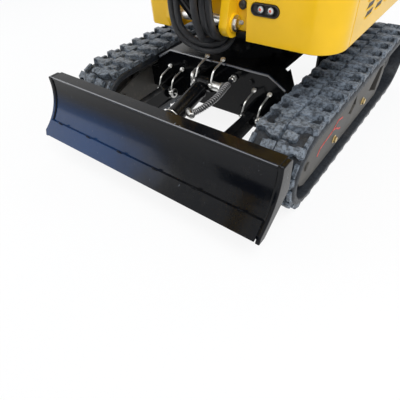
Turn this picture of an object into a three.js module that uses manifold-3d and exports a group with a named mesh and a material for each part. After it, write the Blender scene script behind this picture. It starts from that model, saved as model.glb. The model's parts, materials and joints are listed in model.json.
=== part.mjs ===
// Mini excavator on rubber tracks, about one tonne: undercarriage with a raised dozer
// blade, slewing house with a canopy, boom, arm and bucket.
// Millimetres, +Z up, -Y is the front, +X is the operator's left. The slew axis is x = 0,
// y = 0 while the pieces are made; the finished group is then moved so that the middle of
// the machine's box stands on the origin.
import * as THREE from "three";
import { mergeVertices } from "three/addons/utils/BufferGeometryUtils.js";
import Module from "manifold-3d";

const wasm = await Module();
wasm.setup();

// ---------------------------------------------------------------- driving dimensions
const GAP = 0.3;                 // between faces that touch
const PIN_PLAY = 0.6;            // radial play of a pin in its eye
const SIDE_PLAY = 2;             // play beside an eye between two cheeks
const ROUND = 24;                // facets of a large round
const SMALL_ROUND = 12;          // facets of a small round

// rubber tracks
const overallWidth = 960;
const shoeWidth = 180;
const trackHeight = 285;
const linkPitch = 72;
const linkCount = 32;
const sprocketTeeth = 9;
const lugHeight = 20;
const lugFoot = 50;              // length of a lug where it leaves the belt
const lugTop = 38;
const beltThickness = 24;

// track frames and centre frame
const frameInset = 42;           // outer face of a side frame behind the edge of its track
const sideFrameWidth = 96;
const rollerRadius = 42;
const rollerCount = 3;
const rollerSpacing = 205;
const centreTop = 304;
const centreBottom = 110;
const centreHalfLength = 235;
const plateWall = 12;
const slewRingRadius = 190;
const slewRingHeight = 58;

// dozer blade
const bladeWidth = overallWidth;
const bladePivotY = -309;
const bladePivotZ = 168;
const bladeArmX = 196;
const bladeArmWidth = 34;
const bladeFootY = -722;
const bladeFootZ = 96;
const bladeTopY = -624;
const bladeTopZ = 295;
const bladeSag = 30;             // hollow of the mouldboard
const bladePlate = 14;
const bladeFlange = 48;
const bladeCylinderBase = [-309, 250];
const bladeCylinderTip = [-592, 188];

// house
const houseHalfWidth = 445;
const houseFront = -306;
const houseBottom = 426;
const deckThickness = 20;
const bodyTop = 650;
const frontCornerRadius = 85;
const tailRadius = 690;
const tailThickness = 95;
const counterweightTop = 640;
const chamferStartX = -205;      // the front corner on the -X side is cut back
const chamferEndY = -72;
const panelWall = 16;
const earInner = 90;
const earWall = 28;
const earFront = 42;             // radius of the boss round the boom cylinder pin
const notchDepth = 130;
const panelSeamX = 162;
const hoodTop = 905;
const hoodHalfWidth = 320;
const hoodFrontY = 455;
const seatWidth = 430;
const canopyTop = 2235;
const canopyPostX = 402;
const canopyPostY = 505;

// boom, arm and bucket pins, as [y, z]
const boomFoot = [-230, 690];
const boomCylinderBase = [-299, 471];
const boomCylinderTip = [-671, 906];
const boomControl = [-740, 1300];
const boomTip = [-1395, 1109];
const boomWidth = 112;
const boomHalfDepth = 44;
const boomSwell = 30;
const armCylinderBase = [-690, 1310];
const armCylinderTip = [-1437, 1254];
const armLength = 800;
const armLean = 25;              // degrees the arm leans forward of upright
const armWidth = 80;
const rockerSpacing = 190;       // rocker pivot above the bucket pin
const rockerLength = 142;
const rockerRest = 70;           // degrees between the rocker and the arm's line
const earLean = 25;              // degrees between the bucket's top and its two pins
const bucketWidth = 380;
const bucketPlate = 10;
const toothReach = 22;           // a tooth's point beyond the lip
const pinRadius = 15;

// ---------------------------------------------------------------- colours
const paint = (color, roughness, metalness) =>
  new THREE.MeshStandardMaterial({ color, roughness, metalness });
const yellow = () => paint(0xf7c52c, 0.35, 0.0);
const black = () => paint(0x17191d, 0.25, 0.0);
const castBlack = () => paint(0x222427, 0.5, 0.1);
const rubber = () => paint(0x2e3640, 0.85, 0.0);
const steel = () => paint(0xb9bcc0, 0.3, 1.0);
const darkSteel = () => paint(0x4a4c50, 0.5, 0.8);
const vinyl = () => paint(0x1d1e20, 0.6, 0.0);
const hoseRubber = () => paint(0x2b2d33, 0.6, 0.0);

// ---------------------------------------------------------------- making solids
// A Solid wraps one closed body and joins or cuts it.
class Solid {
  constructor(manifold) { this.body = manifold; }
  static of(geometry) {
    const bare = geometry.index ? geometry.toNonIndexed() : geometry.clone();
    for (const name of Object.keys(bare.attributes)) {
      if (name !== "position") bare.deleteAttribute(name);
    }
    const merged = mergeVertices(bare, 1e-4);
    return new Solid(new wasm.Manifold(new wasm.Mesh({
      numProp: 3,
      vertProperties: new Float32Array(merged.attributes.position.array),
      triVerts: new Uint32Array(merged.index.array),
    })));
  }
  add(...others) { return new Solid(others.reduce((sum, o) => sum.add(o.body), this.body)); }
  cut(...others) { return new Solid(others.reduce((rest, o) => rest.subtract(o.body), this.body)); }
  geometry() {
    const mesh = this.body.getMesh();
    const geometry = new THREE.BufferGeometry();
    const points = new Float32Array(mesh.numVert * 3);
    for (let i = 0; i < mesh.numVert; i += 1) {
      for (let k = 0; k < 3; k += 1) points[3 * i + k] = mesh.vertProperties[mesh.numProp * i + k];
    }
    geometry.setAttribute("position", new THREE.BufferAttribute(points, 3));
    geometry.setIndex(new THREE.BufferAttribute(new Uint32Array(mesh.triVerts), 1));
    geometry.computeVertexNormals();
    return geometry;
  }
}

const machine = new THREE.Group();
function place(name, solid, material) {
  const mesh = new THREE.Mesh(solid.geometry(), material);
  mesh.name = name;
  machine.add(mesh);
}

function box(x0, x1, y0, y1, z0, z1) {
  const geometry = new THREE.BoxGeometry(x1 - x0, y1 - y0, z1 - z0);
  geometry.translate((x0 + x1) / 2, (y0 + y1) / 2, (z0 + z1) / 2);
  return Solid.of(geometry);
}

function extrude(points, depth) {
  const shape = new THREE.Shape(points.map((p) => new THREE.Vector2(p[0], p[1])));
  return new THREE.ExtrudeGeometry(shape, { depth, bevelEnabled: false });
}

// A plate with its outline in plan, between two heights.
function plan(points, z0, z1) {
  const geometry = extrude(points, z1 - z0);
  geometry.translate(0, 0, z0);
  return Solid.of(geometry);
}

// A plate with its outline in side view as [y, z], between two x.
function side(points, x0, x1) {
  const geometry = extrude(points, x1 - x0);
  geometry.rotateX(Math.PI / 2);
  geometry.rotateZ(Math.PI / 2);
  geometry.translate(x0, 0, 0);
  return Solid.of(geometry);
}

// A plate with its outline in front view as [x, z], between two y.
function front(points, y0, y1) {
  const geometry = extrude(points, y1 - y0);
  geometry.rotateX(Math.PI / 2);
  geometry.translate(0, y1, 0);
  return Solid.of(geometry);
}

// A round bar along x through [y, z].
function barX(yz, radius, x0, x1, facets = SMALL_ROUND) {
  const geometry = new THREE.CylinderGeometry(radius, radius, x1 - x0, facets);
  geometry.rotateZ(Math.PI / 2);
  geometry.translate((x0 + x1) / 2, yz[0], yz[1]);
  return Solid.of(geometry);
}

function barZ(x, y, radius, z0, z1, facets = ROUND) {
  const geometry = new THREE.CylinderGeometry(radius, radius, z1 - z0, facets);
  geometry.rotateX(Math.PI / 2);
  geometry.translate(x, y, (z0 + z1) / 2);
  return Solid.of(geometry);
}

// A round bar between two points in space.
function barBetween(a, b, radius, facets = SMALL_ROUND) {
  const from = new THREE.Vector3(...a);
  const to = new THREE.Vector3(...b);
  const geometry = new THREE.CylinderGeometry(radius, radius, from.distanceTo(to), facets);
  const turn = new THREE.Quaternion().setFromUnitVectors(
    new THREE.Vector3(0, 1, 0), to.clone().sub(from).normalize());
  geometry.applyQuaternion(turn);
  geometry.translate((a[0] + b[0]) / 2, (a[1] + b[1]) / 2, (a[2] + b[2]) / 2);
  return Solid.of(geometry);
}

// A bar of square or round section that follows a smooth line through points.
function sweep(points, section, steps) {
  const curve = new THREE.CatmullRomCurve3(
    points.map((p) => new THREE.Vector3(...p)), false, "centripetal");
  const shape = new THREE.Shape(section.map((p) => new THREE.Vector2(p[0], p[1])));
  return Solid.of(new THREE.ExtrudeGeometry(shape, { extrudePath: curve, steps, bevelEnabled: false }));
}

function ring(radius, facets) {
  return Array.from({ length: facets }, (_, i) => {
    const angle = (2 * Math.PI * i) / facets;
    return [radius * Math.cos(angle), radius * Math.sin(angle)];
  });
}

const radians = (degrees) => (degrees * Math.PI) / 180;
const mirrorX = (points) => points.map(([x, y]) => [-x, y]).reverse();
const along = (origin, axis, distance) => [origin[0] + axis[0] * distance, origin[1] + axis[1] *
  distance];
const distance = (a, b) => Math.hypot(b[0] - a[0], b[1] - a[1]);
const direction = (a, b) => {
  const length = distance(a, b);
  return [(b[0] - a[0]) / length, (b[1] - a[1]) / length];
};

function arc(centre, radius, from, to, steps) {
  return Array.from({ length: steps + 1 }, (_, i) => {
    const angle = radians(from + ((to - from) * i) / steps);
    return [centre[0] + radius * Math.cos(angle), centre[1] + radius * Math.sin(angle)];
  });
}

// The smallest outline round a set of circles [y, z, radius], such as a lug's cheek.
function hull(circles, facets = 14) {
  const cloud = circles.flatMap(([y, z, r]) => ring(r, facets).map(([a, b]) => [y + a, z + b]));
  cloud.sort((p, q) => p[0] - q[0] || p[1] - q[1]);
  const cross = (o, a, b) => (a[0] - o[0]) * (b[1] - o[1]) - (a[1] - o[1]) * (b[0] - o[0]);
  const half = (points) => {
    const chain = [];
    for (const p of points) {
      while (chain.length > 1 && cross(chain[chain.length - 2], chain[chain.length - 1], p) <= 1e-6) {
        chain.pop();
      }
      chain.push(p);
    }
    chain.pop();
    return chain;
  };
  return [...half(cloud), ...half([...cloud].reverse())];
}

// A pair of cheeks at +-inner, each wall thick, and the pin that joins them.
function clevis(circles, inner, wall, pinAt, radius = pinRadius, head = 7) {
  const outline = hull(circles);
  return side(outline, inner, inner + wall).add(
    side(outline, -inner - wall, -inner),
    barX(pinAt, radius, -inner - wall - head, inner + wall + head));
}

// The offset of an open line by a distance to its left.
function offsetLine(points, amount) {
  return points.map((p, i) => {
    const before = points[Math.max(i - 1, 0)];
    const after = points[Math.min(i + 1, points.length - 1)];
    const a = i > 0 ? direction(before, p) : direction(p, after);
    const b = i < points.length - 1 ? direction(p, after) : a;
    const normal = [-(a[1] + b[1]), a[0] + b[0]];
    const scale = amount / (1 + a[0] * b[0] + a[1] * b[1]);
    return [p[0] + normal[0] * scale, p[1] + normal[1] * scale];
  });
}
const strip = (points, wall) => [...points, ...offsetLine(points, wall).reverse()];

// A solid made along +s from the origin of a side-view line, turned and moved onto it.
function alongLine(solids, base, tip) {
  const angle = Math.atan2(tip[1] - base[1], tip[0] - base[0]);
  const matrix = new THREE.Matrix4().makeRotationX(angle);
  matrix.setPosition(0, base[0], base[1]);
  return solids.map((solid) => {
    const geometry = solid.geometry();
    geometry.applyMatrix4(matrix);
    return Solid.of(geometry);
  });
}

// ---------------------------------------------------------------- a hydraulic cylinder
// The barrel turns on its base pin and the rod slides in its bore. "retract" and "extend"
// are the rod's travel each way from rest.
function hydraulicCylinder(name, base, tip, sizes) {
  const { barrel, rod, eyeHalf, eyeRadius, retract, extend } = sizes;
  const rest = distance(base, tip);
  const boreStart = eyeRadius + 20;
  const barrelEnd = rest - retract - eyeRadius - 14;
  const rodStart = boreStart + retract + 6;
  const y = (r, s0, s1, facets = 16) => {
    const geometry = new THREE.CylinderGeometry(r, r, s1 - s0, facets);
    geometry.translate(0, (s0 + s1) / 2, 0);
    return Solid.of(geometry);
  };
  const neck = box(-eyeHalf, eyeHalf, 0, eyeRadius + 9, -0.7 * eyeRadius, 0.7 * eyeRadius);
  const tube = y(barrel, eyeRadius + 7, barrelEnd)
    .add(y(barrel + 4, barrelEnd - 34, barrelEnd), neck, barX([0, 0], eyeRadius, -eyeHalf, eyeHalf, 16))
    .cut(y(rod + PIN_PLAY, boreStart, barrelEnd + 1),
      barX([0, 0], pinRadius + PIN_PLAY, -eyeHalf - 1, eyeHalf + 1, 16));
  const shaft = y(rod, rodStart, rest)
    .add(barX([rest, 0], eyeRadius, -eyeHalf, eyeHalf, 16));
  const [tubePlaced, shaftPlaced] = alongLine([tube, shaft], base, tip);
  place(`${name}_barrel`, tubePlaced, black());
  place(`${name}_rod`, shaftPlaced, steel());
}

// ---------------------------------------------------------------- rubber tracks
const gauge = overallWidth - shoeWidth;
const trackX = gauge / 2;
const axleZ = trackHeight / 2;
const pitchRadius = (sprocketTeeth * linkPitch) / (2 * Math.PI);
const axleSpread = (linkCount * linkPitch - sprocketTeeth * linkPitch) / 2;
const idlerY = -axleSpread / 2;
const sprocketY = axleSpread / 2;
const outerRadius = trackHeight / 2;
const beltOuter = outerRadius - lugHeight;
const beltInner = beltOuter - beltThickness;

// The point at a distance round the pitch line, lifted off it to the given radius.
function loopPoint(travel, radius) {
  const bend = Math.PI * pitchRadius;
  const length = 2 * (axleSpread + bend);
  let s = ((travel % length) + length) % length;
  if (s < axleSpread) return [idlerY + s, axleZ - radius];
  s -= axleSpread;
  if (s < bend) {
    const angle = -Math.PI / 2 + s / pitchRadius;
    return [sprocketY + radius * Math.cos(angle), axleZ + radius * Math.sin(angle)];
  }
  s -= bend;
  if (s < axleSpread) return [sprocketY - s, axleZ + radius];
  s -= axleSpread;
  const angle = Math.PI / 2 + s / pitchRadius;
  return [idlerY + radius * Math.cos(angle), axleZ + radius * Math.sin(angle)];
}

function trackLoop(x) {
  const outer = [];
  for (let link = 0; link < linkCount; link += 1) {
    const s = (link + 0.5) * linkPitch;
    outer.push(loopPoint(s - lugFoot / 2, beltOuter), loopPoint(s - lugTop / 2, outerRadius),
      loopPoint(s + lugTop / 2, outerRadius), loopPoint(s + lugFoot / 2, beltOuter));
  }
  const inner = [...arc([sprocketY, axleZ], beltInner, -90, 90, 28),
    ...arc([idlerY, axleZ], beltInner, 90, 270, 28)];
  const x0 = x - shoeWidth / 2;
  return side(outer, x0, x0 + shoeWidth).cut(side(inner, x0 - 1, x0 + shoeWidth + 1));
}

// The side frame: a box beam between the wheels. Its two cheeks reach forward to carry the
// idler's axle and down to carry the bottom rollers; a plate at the back carries the motor.
const sideFrameOuter = overallWidth / 2 - frameInset;
const sideFrameInner = sideFrameOuter - sideFrameWidth;
const cheek = 12;
const sideFrameX = (sideFrameOuter + sideFrameInner) / 2;
const wheelHalf = sideFrameWidth / 2 - cheek - SIDE_PLAY;
const axleRadius = 18;
const rollerAxle = 12;
const wheelRadius = beltInner - 2 * GAP;
const rollerZ = axleZ - wheelRadius + rollerRadius;
const frameRoof = axleZ + beltInner - 32;

function trackFrame() {
  const reach = axleSpread / 2 - wheelRadius - 10;
  const beam = box(sideFrameInner + cheek, sideFrameOuter - cheek, -reach, reach,
    rollerZ + rollerRadius + 8, frameRoof);
  const cheeks = [sideFrameInner, sideFrameOuter - cheek].map((x0) =>
    side([[idlerY - 34, axleZ - 30], [idlerY + 30, axleZ - 34], [-reach + 30, rollerZ - 14],
      [reach - 30, rollerZ - 14],
      [reach, rollerZ + 6], [reach, frameRoof], [-reach, frameRoof], [idlerY - 34, axleZ + 30]], x0,
        x0 + cheek));
  let solid = beam.add(...cheeks, barX([idlerY, axleZ], axleRadius, sideFrameInner - 8,
    sideFrameOuter + 8));
  const motorPlate = side(hull([[sprocketY, axleZ, 60], [reach - 40, axleZ, 44]]),
    sideFrameInner, sideFrameInner + cheek);
  solid = solid.add(motorPlate, barX([sprocketY, axleZ], 52, sideFrameInner - 26, sideFrameX - 16 -
    GAP, ROUND));
  for (let i = 0; i < rollerCount; i += 1) {
    const y = (i - (rollerCount - 1) / 2) * rollerSpacing;
    solid = solid.add(barX([y, rollerZ], rollerAxle, sideFrameInner - 6, sideFrameOuter + 6),
      barX([y, rollerZ], rollerRadius, sideFrameX - wheelHalf, sideFrameX - 12, 16),
      barX([y, rollerZ], rollerRadius, sideFrameX + 12, sideFrameX + wheelHalf, 16),
      barX([y, rollerZ], rollerRadius - 14, sideFrameX - 14, sideFrameX + 14, 8));
  }
  return solid;
}

function idlerWheel() {
  const x = sideFrameX;
  return barX([idlerY, axleZ], wheelRadius, x - 13, x + 13, ROUND)
    .add(barX([idlerY, axleZ], wheelRadius - 12, x - 26, x + 26, ROUND),
      barX([idlerY, axleZ], 34, x - wheelHalf, x + wheelHalf))
    .cut(barX([idlerY, axleZ], axleRadius + PIN_PLAY, x - 60, x + 60));
}

function driveSprocket() {
  const outline = [];
  const step = 360 / sprocketTeeth;
  for (let tooth = 0; tooth < sprocketTeeth; tooth += 1) {
    const middle = tooth * step;
    outline.push(...arc([sprocketY, axleZ], wheelRadius, middle - 0.14 * step, middle + 0.14 * step, 1),
      ...arc([sprocketY, axleZ], wheelRadius - 16, middle + 0.3 * step, middle + 0.7 * step, 2));
  }
  return side(outline, sideFrameX - 16, sideFrameX + 16)
    .add(barX([sprocketY, axleZ], 56, sideFrameX + 10, sideFrameX + 42, ROUND));
}

// A solid on the +X side and its mirror image.
function mirrored(solid) {
  const geometry = solid.geometry();
  const points = geometry.attributes.position;
  for (let i = 0; i < points.count; i += 1) points.setX(i, -points.getX(i));
  const index = geometry.index.array;
  for (let i = 0; i < index.length; i += 3) [index[i], index[i + 1]] = [index[i + 1], index[i]];
  return Solid.of(geometry);
}
function placePair(name, solid, material) {
  place(`${name}_left`, solid, material());
  place(`${name}_right`, mirrored(solid), material());
}

placePair("rubber_track", trackLoop(trackX), rubber);
placePair("track_frame", trackFrame(), castBlack);
placePair("front_idler", idlerWheel(), castBlack);
placePair("drive_sprocket", driveSprocket(), darkSteel);

// ---------------------------------------------------------------- centre frame
// An open-bottomed plate box whose corners reach out to the side frames as legs, with a
// front plate that carries the lugs of the blade.
const legX = sideFrameInner - GAP;
const shoulderX = 215;           // where the top starts to slope down to the legs
const kneeX = gauge / 2 - shoeWidth / 2 - 18;
const kneeDrop = 43;
const endX = gauge / 2 - shoeWidth / 2;
const endZ = axleZ + 97.5;
const waistX = 242;
const waistY = 128;
const legWidth = 62;
const legFloor = axleZ - 16.5;
const legRoof = axleZ + 69.5;
const lugWall = 10;
const sideWindow = { x: 205, front: -150, rear: 213 };
const rearWindow = { x: 200, top: 250 };

function centreFrame() {
  const y = centreHalfLength;
  const quarter = [[endX, -y], [endX, legWidth - y - 22], [waistX, -waistY], [waistX, waistY],
    [endX, y - legWidth + 22], [endX, y]];
  const outline = [...quarter, ...mirrorX(quarter)];
  const slope = [[shoulderX, centreTop], [kneeX, centreTop - kneeDrop], [endX, endZ], [endX + 5, endZ],
    [endX + 5, centreTop + 5], [shoulderX, centreTop + 5]];
  const w = plateWall;
  let solid = plan(outline, centreBottom, centreTop)
    .cut(front(slope, -y - 1, y + 1), front(mirrorX(slope), -y - 1, y + 1),
      box(-shoulderX + 10, shoulderX - 10, -y + w, y - w, centreBottom - 1, centreTop - w),
      box(-endX + w, endX - w, -y + w, -y + legWidth - 22, centreBottom - 1, legRoof),
      box(-endX + w, endX - w, y - legWidth + 22, y - w, centreBottom - 1, legRoof));
  for (const sign of [-1, 1]) {
    const [inner, outer] = [sign * sideWindow.x, sign * (waistX + 1)].sort((a, b) => a - b);
    solid = solid.cut(box(inner, outer, sideWindow.front, sideWindow.rear, centreBottom - 1,
      centreTop - w));
  }
  solid = solid.cut(box(-rearWindow.x, rearWindow.x, y - w - 1, y + 1, centreBottom - 1,
    rearWindow.top));
  for (const sign of [-1, 1]) {
    for (const end of [-1, 1]) {
      const ys = [end * (y - legWidth + 22), end * y].sort((a, b) => a - b);
      const xs = [sign * (endX - w), sign * legX].sort((a, b) => a - b);
      solid = solid.add(box(xs[0], xs[1], ys[0], ys[1], legFloor, legRoof));
    }
  }
  const lug = (pin, x, half, back) => [-1, 1].map((s) => {
    const x0 = x + s * (half + lugWall / 2) - lugWall / 2;
    return side(hull([[pin[0], pin[1], 24], [-y + 2, pin[1] + back, 30], [-y + 2, pin[1] - 26, 12]]),
      x0, x0 + lugWall);
  });
  const pin = (at, x, half) => barX(at, pinRadius, x - half - lugWall - 10, x + half + lugWall + 10);
  const armPin = [bladePivotY, bladePivotZ];
  for (const x of [-bladeArmX, bladeArmX]) {
    solid = solid.add(...lug(armPin, x, bladeArmWidth / 2 + SIDE_PLAY, 4),
      pin(armPin, x, bladeArmWidth / 2));
  }
  return solid.add(...lug(bladeCylinderBase, 0, bladeEye + SIDE_PLAY, -4), pin(bladeCylinderBase, 0,
    bladeEye))
    .cut(barZ(0, 0, 70, centreTop - w - 1, centreTop + 1));
}

const bladeEye = 22;
place("centre_frame", centreFrame(), black());
place("slew_ring", barZ(0, 0, slewRingRadius, centreTop + GAP, centreTop + slewRingHeight, 40)
  .cut(barZ(0, 0, slewRingRadius - 50, centreTop, centreTop + slewRingHeight + 1, 40)), darkSteel());

// ---------------------------------------------------------------- dozer blade
// The mouldboard is a hollow curve between its foot and its top, with a flange on top, an
// end plate at each side and the lugs that take the push arms and the cylinder.
function bladeCurve(shift) {
  const foot = [bladeFootY, bladeFootZ + 14];
  const top = [bladeTopY, bladeTopZ];
  const chord = direction(foot, top);
  const normal = [chord[1], -chord[0]];
  const steps = 10;
  return Array.from({ length: steps + 1 }, (_, i) => {
    const t = i / steps;
    const bow = 4 * t * (1 - t) * bladeSag + shift;
    return [foot[0] + (top[0] - foot[0]) * t + normal[0] * bow, foot[1] + (top[1] - foot[1]) * t +
      normal[1] * bow];
  });
}

function mouldboard() {
  const half = bladeWidth / 2;
  const face = bladeCurve(0);
  const back = bladeCurve(bladePlate);
  const w = bladePlate;
  const sheet = side([...face, ...back.reverse()], -half + w - 1, half - w + 1);
  const flange = box(-half + w - 1, half - w + 1, bladeTopY - 1, bladeTopY + bladeFlange,
    bladeTopZ - 12, bladeTopZ);
  const end = [[bladeFootY - 4, bladeFootZ], [bladeFootY + 26, bladeFootZ], [bladeTopY + bladeFlange,
    bladeFootZ + 90],
    [bladeTopY + bladeFlange, bladeTopZ - 14], [bladeTopY + bladeFlange - 14, bladeTopZ],
      [bladeTopY - 4, bladeTopZ],
    ...bladeCurve(-5).reverse().slice(1, -1)];
  const box1 = box(-half + 60, half - 60, bladeTopY + 8, bladeTopY + bladeFlange - 6, bladeTopZ - 62,
    bladeTopZ - 11);
  let solid = sheet.add(flange, side(end, -half, -half + w), side(end, half - w, half), box1);
  const tip = bladeCylinderTip;
  for (const s of [-1, 1]) {
    const x0 = s * (bladeEye + SIDE_PLAY + lugWall / 2) - lugWall / 2;
    solid = solid.add(side([[tip[0] + 20, tip[1] - 18], [tip[0] + 24, tip[1]],
      [tip[0] + 14, tip[1] + 22],
      [bladeTopY + 20, bladeTopZ - 50], [bladeTopY - 14, bladeTopZ - 50],
        [bladeTopY - 36, tip[1] - 34]], x0, x0 + lugWall));
  }
  return solid;
}

function pushArm() {
  const start = [bladePivotY, bladePivotZ];
  const profile = [...arc(start, 22, -90, 90, 8), ...bladeCurve(bladePlate / 2).slice(2, 6).reverse(),
    [bladeFootY + 110, bladeFootZ + 22]];
  const half = bladeArmWidth / 2;
  return side(profile, bladeArmX - half, bladeArmX + half)
    .cut(barX(start, pinRadius + PIN_PLAY, bladeArmX - half - 1, bladeArmX + half + 1));
}

const blade = mouldboard();
const arm = pushArm();
place("blade_mouldboard", blade, black());
placePair("blade_push_arm", arm.cut(blade), black);
const edgeThickness = 12;
const edgeHeight = 70;
const edgeFace = bladeCurve(-GAP);
const edgeDirection = direction(edgeFace[0], edgeFace[3]);
const edgeFoot = along(edgeFace[0], edgeDirection, -2);
const edgeNormal = [-edgeDirection[1], edgeDirection[0]];
place("blade_cutting_edge", side([edgeFoot, along(edgeFoot, edgeDirection, edgeHeight - 10),
  along(along(edgeFoot, edgeDirection, edgeHeight - 16), edgeNormal, edgeThickness),
  along(along(edgeFoot, edgeDirection, -6), edgeNormal, 4)].reverse(),
-bladeWidth / 2 + bladePlate + GAP, bladeWidth / 2 - bladePlate - GAP).cut(blade), castBlack());
hydraulicCylinder("blade_cylinder", bladeCylinderBase, bladeCylinderTip, {
  barrel: 30, rod: 16, eyeHalf: bladeEye, eyeRadius: 24, retract: 26, extend: 40 });

// ---------------------------------------------------------------- house
// Its outline in plan, from the front seam on the +X side round to the tail.
const tailCornerY = Math.sqrt(tailRadius ** 2 - houseHalfWidth ** 2);
const tailAngle = (Math.atan2(tailCornerY, houseHalfWidth) * 180) / Math.PI;
const cornerX = houseHalfWidth - frontCornerRadius;
const cornerY = houseFront + frontCornerRadius;
const sideSeamY = cornerY + 12;
const SEAM = 3;
const leftPanelLine = [[panelSeamX + SEAM, houseFront], ...arc([cornerX, cornerY], frontCornerRadius,
  -90, 0, 8),
  [houseHalfWidth, sideSeamY - SEAM]];
const tailLine = (radius, from, to, steps) => arc([0, 0], radius, from, to, steps);
const deckInset = panelWall + GAP;
const earOuter = earInner + earWall;
const recessY = houseFront + 24;
const rightSeamY = chamferEndY + 30;
const rightPanelLine = [[-houseHalfWidth, rightSeamY - SEAM], [-houseHalfWidth, chamferEndY],
  [chamferStartX - 14, houseFront + 2], [chamferStartX, houseFront - 8],
    [-earOuter - 14, houseFront - 8]];
const hoodBackRadius = tailRadius - 6;

function houseDeck() {
  const inset = deckInset;
  const outline = [[earInner, houseFront + inset], [cornerX, houseFront + inset],
    ...arc([cornerX, cornerY], frontCornerRadius - inset, -90, 0, 8),
    [houseHalfWidth - inset, tailCornerY - 60],
    ...tailLine(tailRadius - tailThickness - 3, tailAngle + 3, 177 - tailAngle, 14),
    [-houseHalfWidth + inset, tailCornerY - 60], [-houseHalfWidth + inset, chamferEndY + 10],
    [chamferStartX + 4, houseFront + inset], [-earInner, houseFront + inset],
    [-earInner, houseFront + notchDepth], [earInner, houseFront + notchDepth]];
  const deck = plan(outline, houseBottom, houseBottom + deckThickness);
  const ringTop = centreTop + slewRingHeight + GAP;
  return deck.add(barZ(0, 0, slewRingRadius + 12, ringTop, houseBottom + 1, 40))
    .cut(barZ(0, 0, slewRingRadius - 60, ringTop - 1, houseBottom + deckThickness + 1, 40));
}

// The two ears that stand on the deck and carry the boom and its cylinder.
function boomEars() {
  const b = boomCylinderBase;
  const f = boomFoot;
  const outline = [...arc(b, earFront, 180, 270, 8), [-70, houseBottom + 3], [-70, houseBottom + 80],
    ...arc(f, 50, 40, 180, 10)];
  const ears = [[earInner, earOuter], [-earOuter, -earInner]].map(([x0, x1]) => side(outline, x0, x1));
  const bridge = box(-earInner - 1, earInner + 1, houseFront + notchDepth + 4,
    houseFront + notchDepth + 20,
    houseBottom + 4, bodyTop - 60);
  return ears[0].add(ears[1], bridge,
    barX(f, 20, -earOuter - 10, earOuter + 10, 24), barX(b, pinRadius, -earOuter - 9, earOuter + 9,
      24));
}

const ears = boomEars();
const earRoom = box(-earOuter - GAP, earOuter + GAP, houseFront - 60, -70 + GAP,
  houseBottom - 1, houseBottom + deckThickness + 1);
place("house_deck", houseDeck().cut(earRoom), black());
place("boom_ears", ears, yellow());

// Front panels: the +X one wraps round the corner and holds the lamps; a narrow one stands
// back beside each ear.
const lampX = [208, 240];
const lampZ = 521;
const lampSlotHalf = 17;
const floorTop = bodyTop;
const floorThickness = 12;
const panelTop = floorTop - floorThickness - GAP;
const lampSlot = (y0, y1, inset) => front([
  ...arc([lampX[1] + 12, lampZ], lampSlotHalf - inset, -90, 90, 8),
  ...arc([lampX[0] - 12, lampZ], lampSlotHalf - inset, 90, 270, 8)], y0, y1);
place("front_panel_left", plan(strip(leftPanelLine, panelWall), houseBottom, panelTop)
  .cut(lampSlot(houseFront - 1, houseFront + panelWall + 1, 0)), yellow());
place("front_panel_right", plan(strip(rightPanelLine, panelWall), houseBottom, panelTop), yellow());
place("lamp_cluster", lampSlot(houseFront + 2, houseFront + panelWall + 12, GAP)
  .add(lampSlot(houseFront + panelWall + GAP, houseFront + panelWall + 12, -6)), vinyl());
place("recess_panel_left", box(earOuter + GAP, panelSeamX + SEAM + 4, recessY, recessY + 10,
  houseBottom + deckThickness + GAP, panelTop), yellow());

// Side covers run back from the front panels to the counterweight.
const coverEndY = tailCornerY - 64;
for (const [name, sign, y0] of [["left", 1, sideSeamY], ["right", -1, rightSeamY]]) {
  const xs = [sign * houseHalfWidth, sign * (houseHalfWidth - panelWall)].sort((a, b) => a - b);
  place(`side_cover_${name}`, box(xs[0], xs[1], y0, coverEndY, houseBottom, panelTop), yellow());
}

// The counterweight is the cast tail between the side covers.
const counterweight = plan([[houseHalfWidth, coverEndY + SEAM],
  ...tailLine(tailRadius, tailAngle, 180 - tailAngle, 20), [-houseHalfWidth, coverEndY + SEAM],
  ...tailLine(tailRadius - tailThickness, 177 - tailAngle, tailAngle + 3, 16)],
houseBottom, counterweightTop);
place("counterweight", counterweight, castBlack());

// Floor plate over the front of the house, with the opening the boom's ears pass through.
const floorBack = 60;
const floorOutline = [[earOuter + 15, houseFront + 1], [cornerX, houseFront + 1],
  ...arc([cornerX, cornerY], frontCornerRadius - 1, -80, 0, 6), [houseHalfWidth - 1, floorBack],
  [-houseHalfWidth + 1, floorBack], [-houseHalfWidth + 1, chamferEndY],
    [chamferStartX - 12, houseFront + 4],
  [chamferStartX, houseFront - 6], [-earOuter - 15, houseFront - 6],
    [-earOuter - 15, boomFoot[0] + 105], [earOuter + 15, boomFoot[0] + 105]];
place("floor_plate", plan(floorOutline, floorTop - floorThickness, floorTop), castBlack());

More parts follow.
